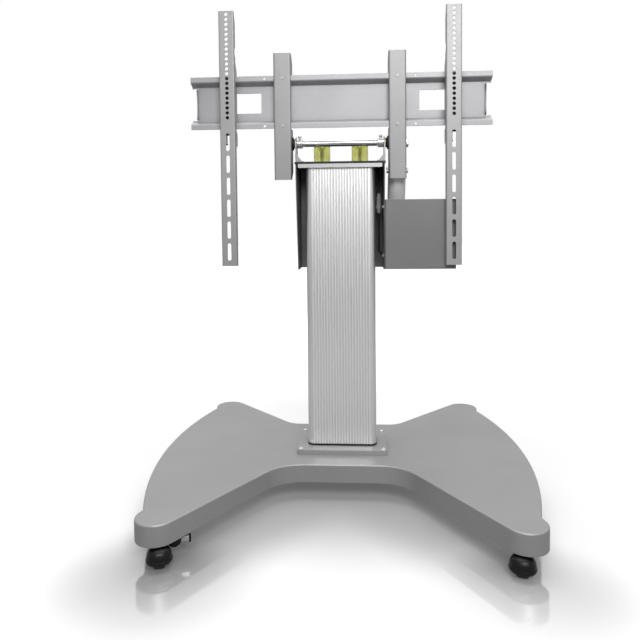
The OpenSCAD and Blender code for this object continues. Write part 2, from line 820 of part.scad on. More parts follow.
// Black lead in the gap beside the column, with its in-line connector
lead_d = 6;
lead_y = 58;
lead_z = panel_z0 + 34;
lead_top = head_bottom;
plug_top = head_bottom - 72;
plug_len = 50;
plug_y = 58;
gap_x = (col_w / 2 + hood_half - hood_t) / 2;
lead_upper = [
    [gap_x, 74, lead_top], [gap_x, 74, lead_top - 8], [gap_x, 71, lead_top - 24],
    [gap_x, 64, lead_top - 46], [gap_x, 59, lead_top - 60], [gap_x, plug_y, plug_top]
];
lead_lower = [
    [gap_x, plug_y, plug_top - plug_len], [gap_x, plug_y, plug_top - plug_len - 14],
    [gap_x, plug_y + 3, plug_top - plug_len - 44], [gap_x, plug_y + 2, lead_z + 30],
    [gap_x, plug_y + 1, lead_z + 12], [gap_x + 5, lead_y, lead_z + 2],
    [hood_half - hood_t, lead_y, lead_z], [hood_half + 30, lead_y, lead_z],
    [unit_x0 - 20, lead_y, lead_z], [unit_x0, lead_y, lead_z]
];

// Catmull-Rom points along a route
function spline_point(p, i, t) =
    let (
        n = len(p) - 1,
        a = p[max(i - 1, 0)],
        b = p[i],
        c = p[min(i + 1, n)],
        d = p[min(i + 2, n)]
    )
    0.5 * (2 * b + (c - a) * t + (2 * a - 5 * b + 4 * c - d) * t * t + (3 * b - a - 3 * c + d) * t * t * t);
function spline(p, steps) = concat(
    [for (i = [0:len(p) - 2]) for (k = [0:steps - 1]) spline_point(p, i, k / steps)],
    [p[len(p) - 1]]
);
function unit(v) = v / norm(v);
function tangent(p, i) = unit(p[min(i + 1, len(p) - 1)] - p[max(i - 1, 0)]);
// A ring of points square to direction t, with its first point turned towards +Y
function ring(c, t, r, sides) =
    let (u = unit(cross(t, [0, 1, 0.01])), v = cross(t, u))
    [for (k = [0:sides - 1]) c + r * (cos(360 * k / sides) * u + sin(360 * k / sides) * v)];

module lead(route) {
    path = spline(route, 3);
    loft([for (i = [0:len(path) - 1]) ring(path[i], tangent(path, i), lead_d / 2, 8)]);
}

module motor_lead() {
    color(black) {
        lead(lead_upper);
        lead(lead_lower);
    }
}

module lead_connector() {
    color(dark) translate([gap_x, plug_y, plug_top - plug_len]) union() {
        cylinder(d1 = 8, d2 = 11, h = 12);
        translate([0, 0, 12]) cylinder(d = 15, h = 7);
        translate([0, 0, 19]) cylinder(d = 12, h = 17);
        translate([0, 0, 36]) cylinder(d = 14, h = 4);
        translate([0, 0, 40]) cylinder(d1 = 11, d2 = 8, h = plug_len - 40);
    }
}

// Lower bracket of the actuator: flange on the hood, shelf and the lug with its slot
module tilt_bracket() {
    lug_t = 6;
    lug_r = 14;
    slot_w = pin_d + 6;
    shelf_z = floor(slot_far[1] - 20);
    lug_x0 = upright_x - lug_t / 2;
    y0 = panel_y + flange_d + 1;
    near = [pivot_y, pivot_z];
    run = slot_far - near;
    aim = atan2(run[1], run[0]);
    slot = concat(
        arc(slot_far, slot_w / 2, aim - 90, aim + 90, 12),
        arc(near, slot_w / 2, aim + 90, aim + 270, 12));
    lug = concat(
        [[y0, shelf_z], [pivot_y + lug_r, shelf_z]],
        arc(near, lug_r, 0, 125, 12),
        [[y0, shelf_z + 16]]);
    color(dark) {
        difference() {
            union() {
                translate([hood_half, y0, shelf_z]) cube([3, head_y1 - 2 - y0, 46]);
                translate([hood_half, y0, shelf_z]) cube([lug_x0 + lug_t - hood_half, pivot_y + lug_r - y0, 4]);
                translate([lug_x0, 0, 0]) rotate([90, 0, 90]) linear_extrude(lug_t) polygon(lug);
            }
            translate([lug_x0 - over, 0, 0]) rotate([90, 0, 90])
                linear_extrude(lug_t + 2 * over) polygon(slot);
        }
    }
}

// Head

shaft_end = upright_x + upright_w / 2 + 6.5;

module tilt_shaft() {
    color(steel) bar_x(shaft_d, -upright_x - upright_w / 2, shaft_end, shaft_y, shaft_z);
}

// Collars inside the ears, each with its thumb screw
module shaft_collars() {
    x0 = head_half - ear_t - 0.3 - 14;
    color(steel) for (side = [0, 1]) mirror([side, 0, 0]) union() {
        difference() {
            bar_x(shaft_d + 7, x0, x0 + 14, shaft_y, shaft_z);
            bar_x(shaft_d, x0 - over, x0 + 14 + over, shaft_y, shaft_z);
        }
        translate([x0 + 7, shaft_y, shaft_z + shaft_d / 2 + 2]) cylinder(d = 4, h = 4);
        translate([x0 + 7, shaft_y, shaft_z + shaft_d / 2 + 6]) cylinder(d = 8.5, h = 4.5);
    }
}

// Washers between an ear's bush and the upright: rubber disc and steel spacer
module friction_washers() {
    x0 = head_half + 1.3;
    x1 = upright_x - upright_w / 2;
    mid = (x0 + x1) / 2;
    color(black) for (side = [0, 1]) mirror([side, 0, 0]) {
        difference() {
            bar_x(shaft_d + 8, x0, mid, shaft_y, shaft_z);
            bar_x(shaft_d, x0 - over, mid + over, shaft_y, shaft_z);
        }
        difference() {
            bar_x(shaft_d + 17, mid, x1, shaft_y, shaft_z);
            bar_x(shaft_d, mid - over, x1 + over, shaft_y, shaft_z);
        }
    }
}

module shaft_nut() {
    x0 = upright_x + upright_w / 2;
    color(steel) difference() {
        union() {
            bar_x(shaft_d + 11, x0, x0 + 1.2, shaft_y, shaft_z);
            nut_x(shaft_d + 6, x0 + 1.2, shaft_end - 0.6, shaft_y, shaft_z);
        }
        bar_x(shaft_d, x0 - over, shaft_end + over, shaft_y, shaft_z);
    }
}

// A U-channel upright bent from sheet, its flanges cut away where the rail passes
module upright(side) {
    t = upright_t;
    x0 = upright_x - upright_w / 2;
    x1 = upright_x + upright_w / 2;
    z0 = shaft_z - upright_drop;
    z1 = z0 + upright_len;
    y0 = upright_front;
    y1 = upright_front + upright_d;
    gap = 1;
    channel = [[x0 + t / 2, y1], [x0 + t / 2, y0 + t / 2], [x1 - t / 2, y0 + t / 2], [x1 - t / 2, y1]];
    shape = [
        [y0, z0], [y0 + 9, z0], [y1, z0 + 22], [y1, rail_bottom - gap], [y0 + t, rail_bottom - gap],
        [y0 + t, rail_top + gap], [y1, rail_top + gap], [y1, z1 - 17], [y0 + 20, z1], [y0, z1]
    ];
    mirror([side < 0 ? 1 : 0, 0, 0]) difference() {
        intersection() {
            translate([0, 0, z0]) linear_extrude(upright_len) bent_sheet(channel, t, 1.2);
            plate_x(shape, x0, x1);
        }
        bar_x(shaft_d, x0 - over, x1 + over, shaft_y, shaft_z);
        for (z = [rail_bottom + lip_h / 2, rail_top - lip_h / 2])
            bar_y(5, upright_x, y0 - over, y0 + t + over, z);
        if (side > 0) bar_x(pin_d, x0 - over, x1 + over, pin_y, pin_z);
    }
}

module upright_left() { color(painted) upright(-1); }
module upright_right() { color(painted) upright(1); }

// Rail section in (Y, Z), bent from sheet: lips in front, slanted steps, web at the back
module rail_section() {
    f = lip_front + rail_t / 2;
    b = rail_web_back - rail_t / 2;
    bent_sheet([
        [f, rail_top], [f, rail_top - lip_h], [b, rail_top - lip_h - step_rise],
        [b, rail_bottom + lip_h + step_rise], [f, rail_bottom + lip_h], [f, rail_bottom]
    ], rail_t, 1.5);
}

module display_rail() {
    end_cut = 12;
    inner_z0 = rail_bottom + lip_h + step_rise + 4;
    inner_z1 = rail_top - lip_h - step_rise - 4;
    mid = (rail_bottom + rail_top) / 2;
    tab = [
        [rail_web_front, inner_z0 + 2], [rail_web_front - 9, inner_z0 + 4], [rail_web_front - 5, mid - 18],
        [rail_web_front - 4, mid], [rail_web_front - 5, mid + 18], [rail_web_front - 9, inner_z1 - 4],
        [rail_web_front, inner_z1 - 2]
    ];
    color(painted) difference() {
        union() {
            difference() {
                translate([-rail_len / 2, 0, 0]) rotate([90, 0, 90]) linear_extrude(rail_len) rail_section();
                for (sx = [-1, 1])
                    translate([sx > 0 ? rail_len / 2 - end_cut : -rail_len / 2 - over, rail_web_front - over, inner_z0])
                        cube([end_cut + over, rail_t + 2 * over, inner_z1 - inner_z0]);
            }
            plate_x(tab, rail_len / 2 - end_cut - rail_t, rail_len / 2 - end_cut);
            plate_x(tab, -rail_len / 2 + end_cut, -rail_len / 2 + end_cut + rail_t);
        }
        for (sx = [-1, 1]) {
            translate([sx > 0 ? window_x : -window_x - window_w, rail_web_front - over, mid - window_h / 2 + 1])
                cube([window_w, rail_t + 2 * over, window_h]);
            for (z = [rail_bottom + lip_h / 2, rail_top - lip_h / 2]) {
                bar_y(6, sx * (window_x - 10.5), lip_front - over, lip_front + rail_t + over, z);
                bar_y(5, sx * upright_x, lip_front - over, lip_front + rail_t + over, z);
            }
        }
    }
}

// Countersunk screws with nuts that hold the uprights on the rail's lips
module rail_screws() {
    color(steel) for (sx = [-1, 1], z = [rail_bottom + lip_h / 2, rail_top - lip_h / 2]) union() {
        bar_y(5, sx * upright_x, upright_front - 0.6, lip_front + rail_t + 5, z);
        bar_y(8, sx * upright_x, upright_front - 0.8, upright_front, z);
        translate([sx * upright_x, lip_front + rail_t, z]) rotate([-90, 0, 0])
            cylinder(d = 8 / cos(30), h = 4, $fn = 6);
    }
}

module tilt_pin() {
    x0 = upright_x - upright_w / 2;
    x1 = upright_x + upright_w / 2;
    color(steel) union() {
        bar_x(pin_d, x0 - 5, x1, pin_y, pin_z);
        nut_x(16, x1, x1 + 5.5, pin_y, pin_z);
        nut_x(16, x0 - 5, x0, pin_y, pin_z);
    }
}

// Tilt actuator, drawn hanging from the pin at the origin and leant into place

module lean() {
    translate([upright_x, pin_y, pin_z]) rotate([rod_lean, 0, 0]) children();
}

module tilt_rod() {
    eye_w = upright_w - 2 * upright_t - 3;
    eye_r = 13;
    depth = rod_gap + rod_tail;
    color(steel) lean() difference() {
        union() {
            bar_x(2 * eye_r, -eye_w / 2, eye_w / 2, 0, 0);
            translate([-eye_w / 2, -eye_r, -rod_gap + 0.5]) cube([eye_w, 2 * eye_r, rod_gap - 0.5]);
            translate([0, 0, -depth]) cylinder(d = rod_d, h = depth - eye_r);
        }
        bar_x(pin_d + 2 * run_fit, -eye_w / 2 - over, eye_w / 2 + over, 0, 0);
    }
}

module tilt_tube() {
    z1 = -rod_gap;
    z0 = -(rod_len - fork_len);
    wall = 3;
    collar = 10;
    stroke_room = rod_tail + 6;
    cheek_x = 3 + 0.5;
    cheek_t = 5;
    color(painted) lean() difference() {
        union() {
            translate([0, 0, z0]) cylinder(d = actuator_d, h = z1 - z0);
            translate([0, -actuator_d / 2 + 2, z0]) cube([motor_off + 20, actuator_d - 4, 28]);
            for (side = [0, 1]) mirror([side, 0, 0]) {
                translate([cheek_x, -fork_r, -rod_len]) cube([cheek_t, 2 * fork_r, fork_len + 3]);
                bar_x(2 * fork_r, cheek_x, cheek_x + cheek_t, 0, -rod_len);
            }
        }
        translate([0, 0, z1 - stroke_room]) cylinder(d = actuator_d - 2 * wall, h = stroke_room - collar);
        translate([0, 0, z1 - collar - over]) cylinder(d = rod_d + 2 * run_fit, h = collar + 2 * over);
        bar_x(pin_d, -20, 20, 0, -rod_len);
    }
}

motor_off = 42;

module tilt_motor() {
    z0 = -(rod_len - fork_len) + 28;
    color(dark) lean() union() {
        translate([motor_off, 0, z0]) cylinder(d = 36, h = 62);
        translate([motor_off, 0, z0 + 61]) cylinder(d = 12, h = 5);
    }
}

module tilt_fork_pin() {
    color(steel) lean() union() {
        bar_x(pin_d, -12, 12, 0, -rod_len);
        bar_x(pin_d + 5, -12, -8.5, 0, -rod_len);
        bar_x(pin_d + 5, 8.5, 12, 0, -rod_len);
    }
}

// Display arms

arm_top = rail_top + arm_rise;
arm_bottom = arm_top - arm_len;
lock_z = rail_bottom - 14;

module arm_slot(z_top, length) {
    slot_w = 9;
    y0 = arm_front - over;
    y1 = arm_front + arm_t + over;
    bar_y(slot_w, 0, y0, y1, z_top - slot_w / 2);
    bar_y(slot_w, 0, y0, y1, z_top - length + slot_w / 2);
    translate([-slot_w / 2, y0, z_top - length + slot_w / 2]) cube([slot_w, y1 - y0, length - slot_w]);
}

// A U-channel arm: its flanges hook over the rail's upper lip and under its lower one
module arm(side) {
    y0 = arm_front;
    y1 = arm_front + arm_d;
    hook = rail_web_front - 3.5;
    gap = 0.5;
    notch_z = arm_top - 87;
    in0 = rail_bottom + lip_h + step_rise + 3;
    in1 = rail_top - lip_h - step_rise - 3;
    flange = concat(
        [
            [y0, arm_top], [y0, arm_bottom], [y1, arm_bottom], [y1, rail_bottom - 46],
            [hook, rail_bottom - 40], [hook, rail_bottom - 12], [y1, rail_bottom - gap],
            [y1, rail_bottom + lip_h], [hook, in0], [hook, in1], [y1, rail_top - lip_h],
            [y1, rail_top + gap], [hook, rail_top + gap], [hook, rail_top + 14], [y1, rail_top + 34]
        ],
        arc([y1 + 3, notch_z - 11], 12, 255, 105, 10),
        [[y1, arm_top - 27], [y0 + 4, arm_top]]
    );
    x = (arm_w - arm_t) / 2;
    channel = [[-x, hook], [-x, y0 + arm_t / 2], [x, y0 + arm_t / 2], [x, hook]];
    translate([side * arm_x, 0, 0]) difference() {
        intersection() {
            translate([0, 0, arm_bottom]) linear_extrude(arm_len) bent_sheet(channel, arm_t, 1);
            plate_x(flange, -arm_w / 2, arm_w / 2);
        }
        for (i = [0:hole_count - 1])
            bar_y(hole_d, 0, y0 - over, y0 + arm_t + over, arm_top - 8 - i * hole_pitch);
        for (i = [0:slot_count - 1])
            arm_slot(arm_top - 298 - i * slot_pitch, slot_len);
        bar_x(5, -arm_w / 2 - over, arm_w / 2 + over, y0 + arm_d - 6, lock_z);
    }
}

module arm_left() { color(painted) arm(-1); }
module arm_right() { color(painted) arm(1); }

// Cross bar between the flanges with the screw that clamps the arm from below
module arm_lock(side) {
    y = arm_front + arm_d - 6;
    color(black) translate([side * arm_x, 0, 0]) union() {
        bar_x(5, -arm_w / 2, arm_w / 2, y, lock_z);
        translate([-4, y, lock_z - 24]) cylinder(d = 3.2, h = 34);
        translate([-4, y, lock_z - 26]) cylinder(d = 5.5, h = 3);
    }
}

module arm_lock_left() { arm_lock(-1); }
module arm_lock_right() { arm_lock(1); }

// Casters

module at_caster(i) {
    sx = (i == 0 || i == 2) ? -1 : 1;
    sy = i < 2 ? -1 : 1;
    translate([sx * caster_x, sy * caster_y, 0]) rotate(caster_dir[i]) children();
}

// Side of a caster its brake pedal is on, by caster: 1 to the left of its trail direction
pedal_side = [1, 0, 0, -1];
pedal_pin = [19, 40];
knuckle_x = [-12, -6];

// Hood over the wheel, with the socket that turns on the stem and the brake's knuckle
module caster_housing(i) {
    r = wheel_r + hood_wall;
    round_r = 14;
    cut = 10;
    socket_top = frame_bottom - 4.5;
    side = pedal_side[i];
    color(black) at_caster(i) difference() {
        union() {
            translate([caster_trail, 0, wheel_r]) rotate([90, 0, 0]) rotate_extrude() intersection() {
                rounded(2 * r, hood_w, round_r);
                translate([0, -hood_w]) square([r + over, 2 * hood_w]);
            }
            cylinder(d = axle_d + 14, h = socket_top);
            if (side != 0) {
                translate([knuckle_x[0], min(0, side * pedal_pin[0]), pedal_pin[1] - 6])
                    cube([knuckle_x[1] - knuckle_x[0], pedal_pin[0], 12]);
                bar_x(12, knuckle_x[0], knuckle_x[1], side * pedal_pin[0], pedal_pin[1]);
            }
        }
        translate([-200, -100, -20]) cube([400, 200, 20 + cut]);
        translate([-20, -20, -over]) cube([40, 40, 22]);
        translate([caster_trail, 0, wheel_r]) rotate([90, 0, 0])
            cylinder(r = wheel_r + 1.5, h = wheel_w + 2, center = true);
        translate([0, 0, swivel_pin_z - 0.5]) cylinder(d = axle_d + 2 * run_fit, h = 40);
        translate([caster_trail, 0, wheel_r]) rotate([90, 0, 0]) cylinder(d = axle_d, h = hood_w - 6, center = true);
        if (side != 0)
            bar_x(4 + 2 * run_fit, knuckle_x[0] - over, knuckle_x[1] + over, side * pedal_pin[0], pedal_pin[1]);
    }
}

module caster_wheel(i) {
    groove = 1.2;
    color(dark) at_caster(i) translate([caster_trail, 0, wheel_r]) rotate([90, 0, 0]) rotate_extrude() polygon([
        [axle_d / 2 + run_fit, -wheel_w / 2], [wheel_r * 0.62, -wheel_w / 2],
        [wheel_r * 0.68, -wheel_w / 2 + groove], [wheel_r - 4, -wheel_w / 2 + groove],
        [wheel_r - 1.2, -wheel_w / 2 + groove + 2], [wheel_r, -wheel_w / 2 + 7],
        [wheel_r, wheel_w / 2 - 7], [wheel_r - 1.2, wheel_w / 2 - groove - 2],
        [wheel_r - 4, wheel_w / 2 - groove], [wheel_r * 0.68, wheel_w / 2 - groove],
        [wheel_r * 0.62, wheel_w / 2], [axle_d / 2 + run_fit, wheel_w / 2]
    ]);
}

module caster_axle(i) {
    color(steel) at_caster(i) translate([caster_trail, 0, wheel_r]) rotate([90, 0, 0])
        cylinder(d = axle_d, h = hood_w - 6, center = true);
}

module caster_housing_fl() { caster_housing(0); }
module caster_housing_fr() { caster_housing(1); }
module caster_housing_rl() { caster_housing(2); }
module caster_housing_rr() { caster_housing(3); }
module caster_wheel_fl() { caster_wheel(0); }
module caster_wheel_fr() { caster_wheel(1); }
module caster_wheel_rl() { caster_wheel(2); }
module caster_wheel_rr() { caster_wheel(3); }
module caster_axle_fl() { caster_axle(0); }
module caster_axle_fr() { caster_axle(1); }
module caster_axle_rl() { caster_axle(2); }
module caster_axle_rr() { caster_axle(3); }

// Brake pedal: a fork on the knuckle, a plate reaching sideways and a turned-down toe
module brake_pedal(i) {
    side = pedal_side[i];
    y = pedal_pin[0];
    z = pedal_pin[1];
    x0 = knuckle_x[0] - 4.5;
    x1 = knuckle_x[1] + 2.5;
    color(black) at_caster(i) mirror([0, side < 0 ? 1 : 0, 0]) union() {
        for (x = [[x0, knuckle_x[0] - 0.3], [knuckle_x[1] + 0.3, x1]]) {
            bar_x(7, x[0], x[1], y, z);
            translate([x[0], y, z - 12]) cube([x[1] - x[0], 12, 15.5]);
        }
        bar_x(4, x0, x1, y, z);
        translate([x0, y + 8, z - 3.5]) cube([x1 - x0, 34, 4.5]);
        translate([x0, y + 38, z - 12]) cube([x1 - x0, 5, 15]);
    }
}

module brake_pedal_fl() { brake_pedal(0); }
module brake_pedal_rr() { brake_pedal(3); }

base_cover();
base_frame();
foot_plate();
foot_bolts();
column_gasket();
column_outer();
column_glides();
lift_gearbox();
lift_motor();
caster_stems();
lift_spindle();
column_inner();
spindle_nut();
top_plate();
top_plate_screws();
front_strip();
carriage_hood();
pivot_ear_left();
pivot_ear_right();
pivot_bushes();
tilt_bumpers();
bumper_bolts();
control_cover();
cover_screws();
control_box();
mains_inlet();
motor_lead();
lead_connector();
tilt_bracket();
tilt_shaft();
shaft_collars();
friction_washers();
shaft_nut();
upright_left();
upright_right();
display_rail();
rail_screws();
tilt_pin();
tilt_rod();
tilt_tube();
tilt_motor();
tilt_fork_pin();
arm_left();
arm_right();
arm_lock_left();
arm_lock_right();
caster_housing_fl();
caster_housing_fr();
caster_housing_rl();
caster_housing_rr();
caster_wheel_fl();
caster_wheel_fr();
caster_wheel_rl();
caster_wheel_rr();
caster_axle_fl();
caster_axle_fr();
caster_axle_rl();
caster_axle_rr();
brake_pedal_fl();
brake_pedal_rr();
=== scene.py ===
import math

import bmesh
import bpy
from mathutils import Matrix, Vector


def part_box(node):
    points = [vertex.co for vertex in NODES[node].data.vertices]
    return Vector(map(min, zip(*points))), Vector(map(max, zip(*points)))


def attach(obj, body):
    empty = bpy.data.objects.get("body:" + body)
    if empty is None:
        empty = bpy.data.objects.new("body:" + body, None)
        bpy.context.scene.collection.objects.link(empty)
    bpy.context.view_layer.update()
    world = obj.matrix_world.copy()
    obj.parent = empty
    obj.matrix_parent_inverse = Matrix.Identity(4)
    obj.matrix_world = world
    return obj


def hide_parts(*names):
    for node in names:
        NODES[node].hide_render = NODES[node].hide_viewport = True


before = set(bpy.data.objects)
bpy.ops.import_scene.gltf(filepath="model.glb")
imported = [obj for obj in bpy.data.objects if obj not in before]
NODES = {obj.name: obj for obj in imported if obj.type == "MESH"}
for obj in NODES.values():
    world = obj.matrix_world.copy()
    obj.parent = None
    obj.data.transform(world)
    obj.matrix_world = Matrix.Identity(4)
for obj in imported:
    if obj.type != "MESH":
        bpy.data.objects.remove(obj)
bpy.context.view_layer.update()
MM = 0.001
WHITE = (1.0, 1.0, 1.0, 1.0)


def put(name, data):
    """Put a new object with this mesh, curve, lamp or camera in the scene."""
    obj = bpy.data.objects.new(name, data)
    bpy.context.scene.collection.objects.link(obj)
    return obj


# Camera, fitted to straight, square and parallel edges: metres, radians and pixels of the image
CAM_POS = Vector((0.04148, -1.52278, 0.67165))
CAM_YAW = -0.06102
CAM_PITCH = 0.04524
CAM_ROLL = 0.00977
FOCAL_PX = 613.233
CENTRE_V = 246.216
IMAGE_PX = 640.0
SENSOR_MM = 36.0
CLIP_NEAR = 0.01
CLIP_FAR = 60.0


def add_camera():
    """The camera, turned by yaw, pitch and roll, and shifted so that its axis meets the row CENTRE_V."""
    forward = Vector((math.sin(CAM_YAW) * math.cos(CAM_PITCH), math.cos(CAM_YAW) * math.cos(CAM_PITCH),
                      -math.sin(CAM_PITCH)))
    level_right = Vector((math.cos(CAM_YAW), -math.sin(CAM_YAW), 0.0))
    level_down = forward.cross(level_right)
    right = math.cos(CAM_ROLL) * level_right + math.sin(CAM_ROLL) * level_down
    down = -math.sin(CAM_ROLL) * level_right + math.cos(CAM_ROLL) * level_down
    data = bpy.data.cameras.new("camera")
    data.sensor_width = SENSOR_MM
    data.lens = SENSOR_MM * FOCAL_PX / IMAGE_PX
    data.shift_y = -(IMAGE_PX / 2 - CENTRE_V) / IMAGE_PX
    data.clip_start = CLIP_NEAR
    data.clip_end = CLIP_FAR
    camera = put("camera", data)
    turn = Matrix((right, -down, -forward)).transposed().to_4x4()
    camera.matrix_world = Matrix.Translation(CAM_POS) @ turn
    bpy.context.scene.camera = camera


add_camera()


# Node trees
class Nodes:
    """The node tree of a material or a world, with short calls that add nodes to it."""

    def __init__(self, owner):
        owner.use_nodes = True
        self.tree = owner.node_tree
        self.tree.nodes.clear()

    def node(self, kind, **settings):
        """A new node with these settings."""
        added = self.tree.nodes.new(kind)
        for key, value in settings.items():
            setattr(added, key, value)
        return added

    def feed(self, socket, value):
        """Link a node's output to a socket, or set the socket to a plain value."""
        if hasattr(value, "is_linked"):
            self.tree.links.new(value, socket)
        else:
            socket.default_value = value

    def math(self, operation, first, second=0.0):
        """One step of arithmetic."""
        step = self.node("ShaderNodeMath", operation=operation)
        self.feed(step.inputs[0], first)
        self.feed(step.inputs[1], second)
        return step.outputs[0]

    def span(self, value, low, high, to_low, to_high, how="LINEAR"):
        """A value taken from one range to another, and held at its ends."""
        mapped = self.node("ShaderNodeMapRange", interpolation_type=how)
        for socket, given in zip(mapped.inputs, (value, low, high, to_low, to_high)):
            self.feed(socket, given)
        return mapped.outputs[0]

    def axes(self, vector):
        """The outputs X, Y and Z of a vector."""
        split = self.node("ShaderNodeSeparateXYZ")
        self.feed(split.inputs[0], vector)
        return split.outputs

    def shaders(self, share, first, second):
        """Two shaders, mixed by the share of the second."""
        mixed = self.node("ShaderNodeMixShader")
        for socket, given in zip(mixed.inputs, (share, first, second)):
            self.feed(socket, given)
        return mixed.outputs[0]


# Materials: radii of edges in metres, and scales of noise in waves to the metre
POWDER_EDGE = 0.0012
POWDER_CLOUDS = 5.0
POWDER_SHEEN = 30.0
POWDER_PEEL = 900.0
POWDER_FLAKE = 1500.0
METAL_EDGE = 0.0004
PLASTIC_EDGE = 0.0008
PLASTIC_CLOUDS = 30.0
URETHANE_CLOUDS = 40.0
URETHANE_SKIN = 250.0

# Edges: the match of true and rounded normal where they start to show, and where they show in full
EDGE_NONE = 0.995
EDGE_FULL = 0.80

# Painted shade in nooks: how far off a wall still shades, and how open a place is where the painted shade
# starts and is darkest
NOOK_REACH = 0.02
NOOK_NONE = 0.9
NOOK_FULL = 0.3

# Fluted column: the pitch of its flutes, the painted shade of their valleys and the middle of its sides
FLUTE_PITCH = 0.007
FLUTE_DARK = 0.84
FLUTE_LINES = 500.0
FLUTE_CLOUDS = 6.0
COLUMN_Y = 0.041


def srgb(r, g, b):
    """The linear colour of 8-bit display values."""
    shares = [v / 255.0 for v in (r, g, b)]
    return (*(v / 12.92 if v <= 0.04045 else ((v + 0.055) / 1.055) ** 2.4 for v in shares), 1.0)


def shaded(colour, by, plus=0.0):
    """A colour made darker or brighter, up to white."""
    return (*(min(v * by + plus, 1.0) for v in colour[:3]), 1.0)


class Finish(Nodes):
    """A material with one Principled shader, and short calls for what feeds it."""

    def __init__(self, name, metal=0.0, specular=0.5):
        self.material = bpy.data.materials.new(name)
        super().__init__(self.material)
        self.shader = self.node("ShaderNodeBsdfPrincipled")
        self.set("Metallic", metal)
        self.set("Specular IOR Level", specular)
        self.where = self.node("ShaderNodeTexCoord").outputs["Object"]
        self.normal = None

    def set(self, socket, value):
        """Give one of the shader's sockets its value."""
        self.feed(self.shader.inputs[socket], value)

    def stretched(self, scale):
        """The place on the object, scaled along its axes."""
        mapping = self.node("ShaderNodeMapping")
        mapping.inputs["Scale"].default_value = scale
        self.feed(mapping.inputs["Vector"], self.where)
        return mapping.outputs["Vector"]

    def noise(self, scale, detail=2.0, rough=0.55, at=None):
        """Soft noise from 0 to 1."""
        noise = self.node("ShaderNodeTexNoise")
        self.feed(noise.inputs["Vector"], at or self.where)
        for socket, given in (("Scale", scale), ("Detail", detail), ("Roughness", rough)):
            noise.inputs[socket].default_value = given
        return noise.outputs["Fac"]

    def ramp(self, value, low, high):
        """A colour between two, each given as the value where it is full, and its colour or grey level."""
        ramp = self.node("ShaderNodeValToRGB")
        for stop, (at, colour) in zip(ramp.color_ramp.elements, (low, high)):
            stop.position = at
            stop.color = colour if hasattr(colour, "__len__") else (colour, colour, colour, 1.0)
        self.feed(ramp.inputs["Fac"], value)
        return ramp.outputs["Color"]

    def mix(self, share, first, second, how="MIX"):
        """Two colours, mixed by the share of the second."""
        mixed = self.node("ShaderNodeMix", data_type="RGBA", blend_type=how)
        for socket, given in (("Factor", share), (6, first), (7, second)):
            self.feed(mixed.inputs[socket], given)
        return mixed.outputs[2]

    def bump(self, height, strength, distance):
        """Relief on top of the normal so far."""
        bump = self.node("ShaderNodeBump")
        for socket, given in (("Height", height), ("Strength", strength), ("Distance", distance)):
            self.feed(bump.inputs[socket], given)
        if self.normal is not None:
            self.feed(bump.inputs["Normal"], self.normal)
        self.normal = bump.outputs["Normal"]

    def edge(self, radius):
        """Round the normal at edges, and give 0 on flats and up to 1 on edges."""
        rounded = self.node("ShaderNodeBevel", samples=4)
        rounded.inputs["Radius"].default_value = radius
        self.normal = rounded.outputs["Normal"]
        match = self.node("ShaderNodeVectorMath", operation="DOT_PRODUCT")
        self.feed(match.inputs[0], self.normal)
        self.feed(match.inputs[1], self.node("ShaderNodeNewGeometry").outputs["Normal"])
        return self.span(match.outputs["Value"], EDGE_NONE, EDGE_FULL, 0.0, 1.0)

    def nooks(self, darkest):
        """A mask for painted shade: 0 in the open, up to darkest in corners and folds."""
        shelter = self.node("ShaderNodeAmbientOcclusion", samples=6)
        shelter.inputs["Distance"].default_value = NOOK_REACH
        return self.span(shelter.outputs["AO"], NOOK_NONE, NOOK_FULL, 0.0, darkest)

    def done(self, colour, rough):
        """Feed the shader, and give the finished material."""
        self.set("Base Color", colour)
        self.set("Roughness", rough)
        if self.normal is not None:
            self.set("Normal", self.normal)
        out = self.node("ShaderNodeOutputMaterial")
        self.feed(out.inputs["Surface"], self.shader.outputs["BSDF"])
        return self.material


def powder(name, base, rough, lift=1.14, metal=0.35, painted_nook_shade=0.0):
    """Silver-grey powder coat: fine orange peel, faint metal flake, brighter edges and painted shade in its
    nooks.
    """
    coat = Finish(name, metal=metal)
    edge = coat.edge(POWDER_EDGE)
    flake = coat.ramp(coat.noise(POWDER_FLAKE, detail=1.0, rough=0.6), (0.35, 0.35), (0.65, 0.65))
    colour = coat.ramp(coat.noise(POWDER_CLOUDS), (0.35, shaded(base, 0.96)), (0.65, shaded(base, 1.04)))
    colour = coat.mix(0.35, colour, flake, "OVERLAY")
    colour = coat.mix(coat.math("MULTIPLY", edge, 0.6), colour, shaded(base, lift))
    # Painted shade: the colour darkens in corners and folds, where shade falls
    if painted_nook_shade:
        colour = coat.mix(coat.nooks(painted_nook_shade), colour, shaded(base, 0.35))
    roughness = coat.span(coat.noise(POWDER_SHEEN), 0.3, 0.7, rough - 0.01, rough + 0.02)
    coat.bump(coat.noise(POWDER_PEEL), strength=0.12, distance=0.0004)
    return coat.done(colour, roughness)


def metal(name, base, rough, grain=(1.0, 1.0, 1.0), scale=400.0, bump=0.05, edge=METAL_EDGE, spread=0.90):
    """Bare metal with a drawn or turned grain."""
    bare = Finish(name, metal=1.0)
    if edge:
        bare.edge(edge)
    lines = bare.noise(scale, rough=0.6, at=bare.stretched(grain))
    colour = bare.ramp(lines, (0.3, shaded(base, spread)), (0.7, base))
    roughness = bare.span(lines, 0.3, 0.7, rough - 0.06, rough + 0.08)
    if bump:
        bare.bump(lines, strength=bump, distance=0.0003)
    return bare.done(colour, roughness)


def drawn(name, base, rough, grain, scale, spread):
    """Smooth extruded metal: a faint grain along its length in colour and gloss alone."""
    return metal(name, base, rough, grain=grain, scale=scale, bump=0.0, edge=0.0, spread=spread)


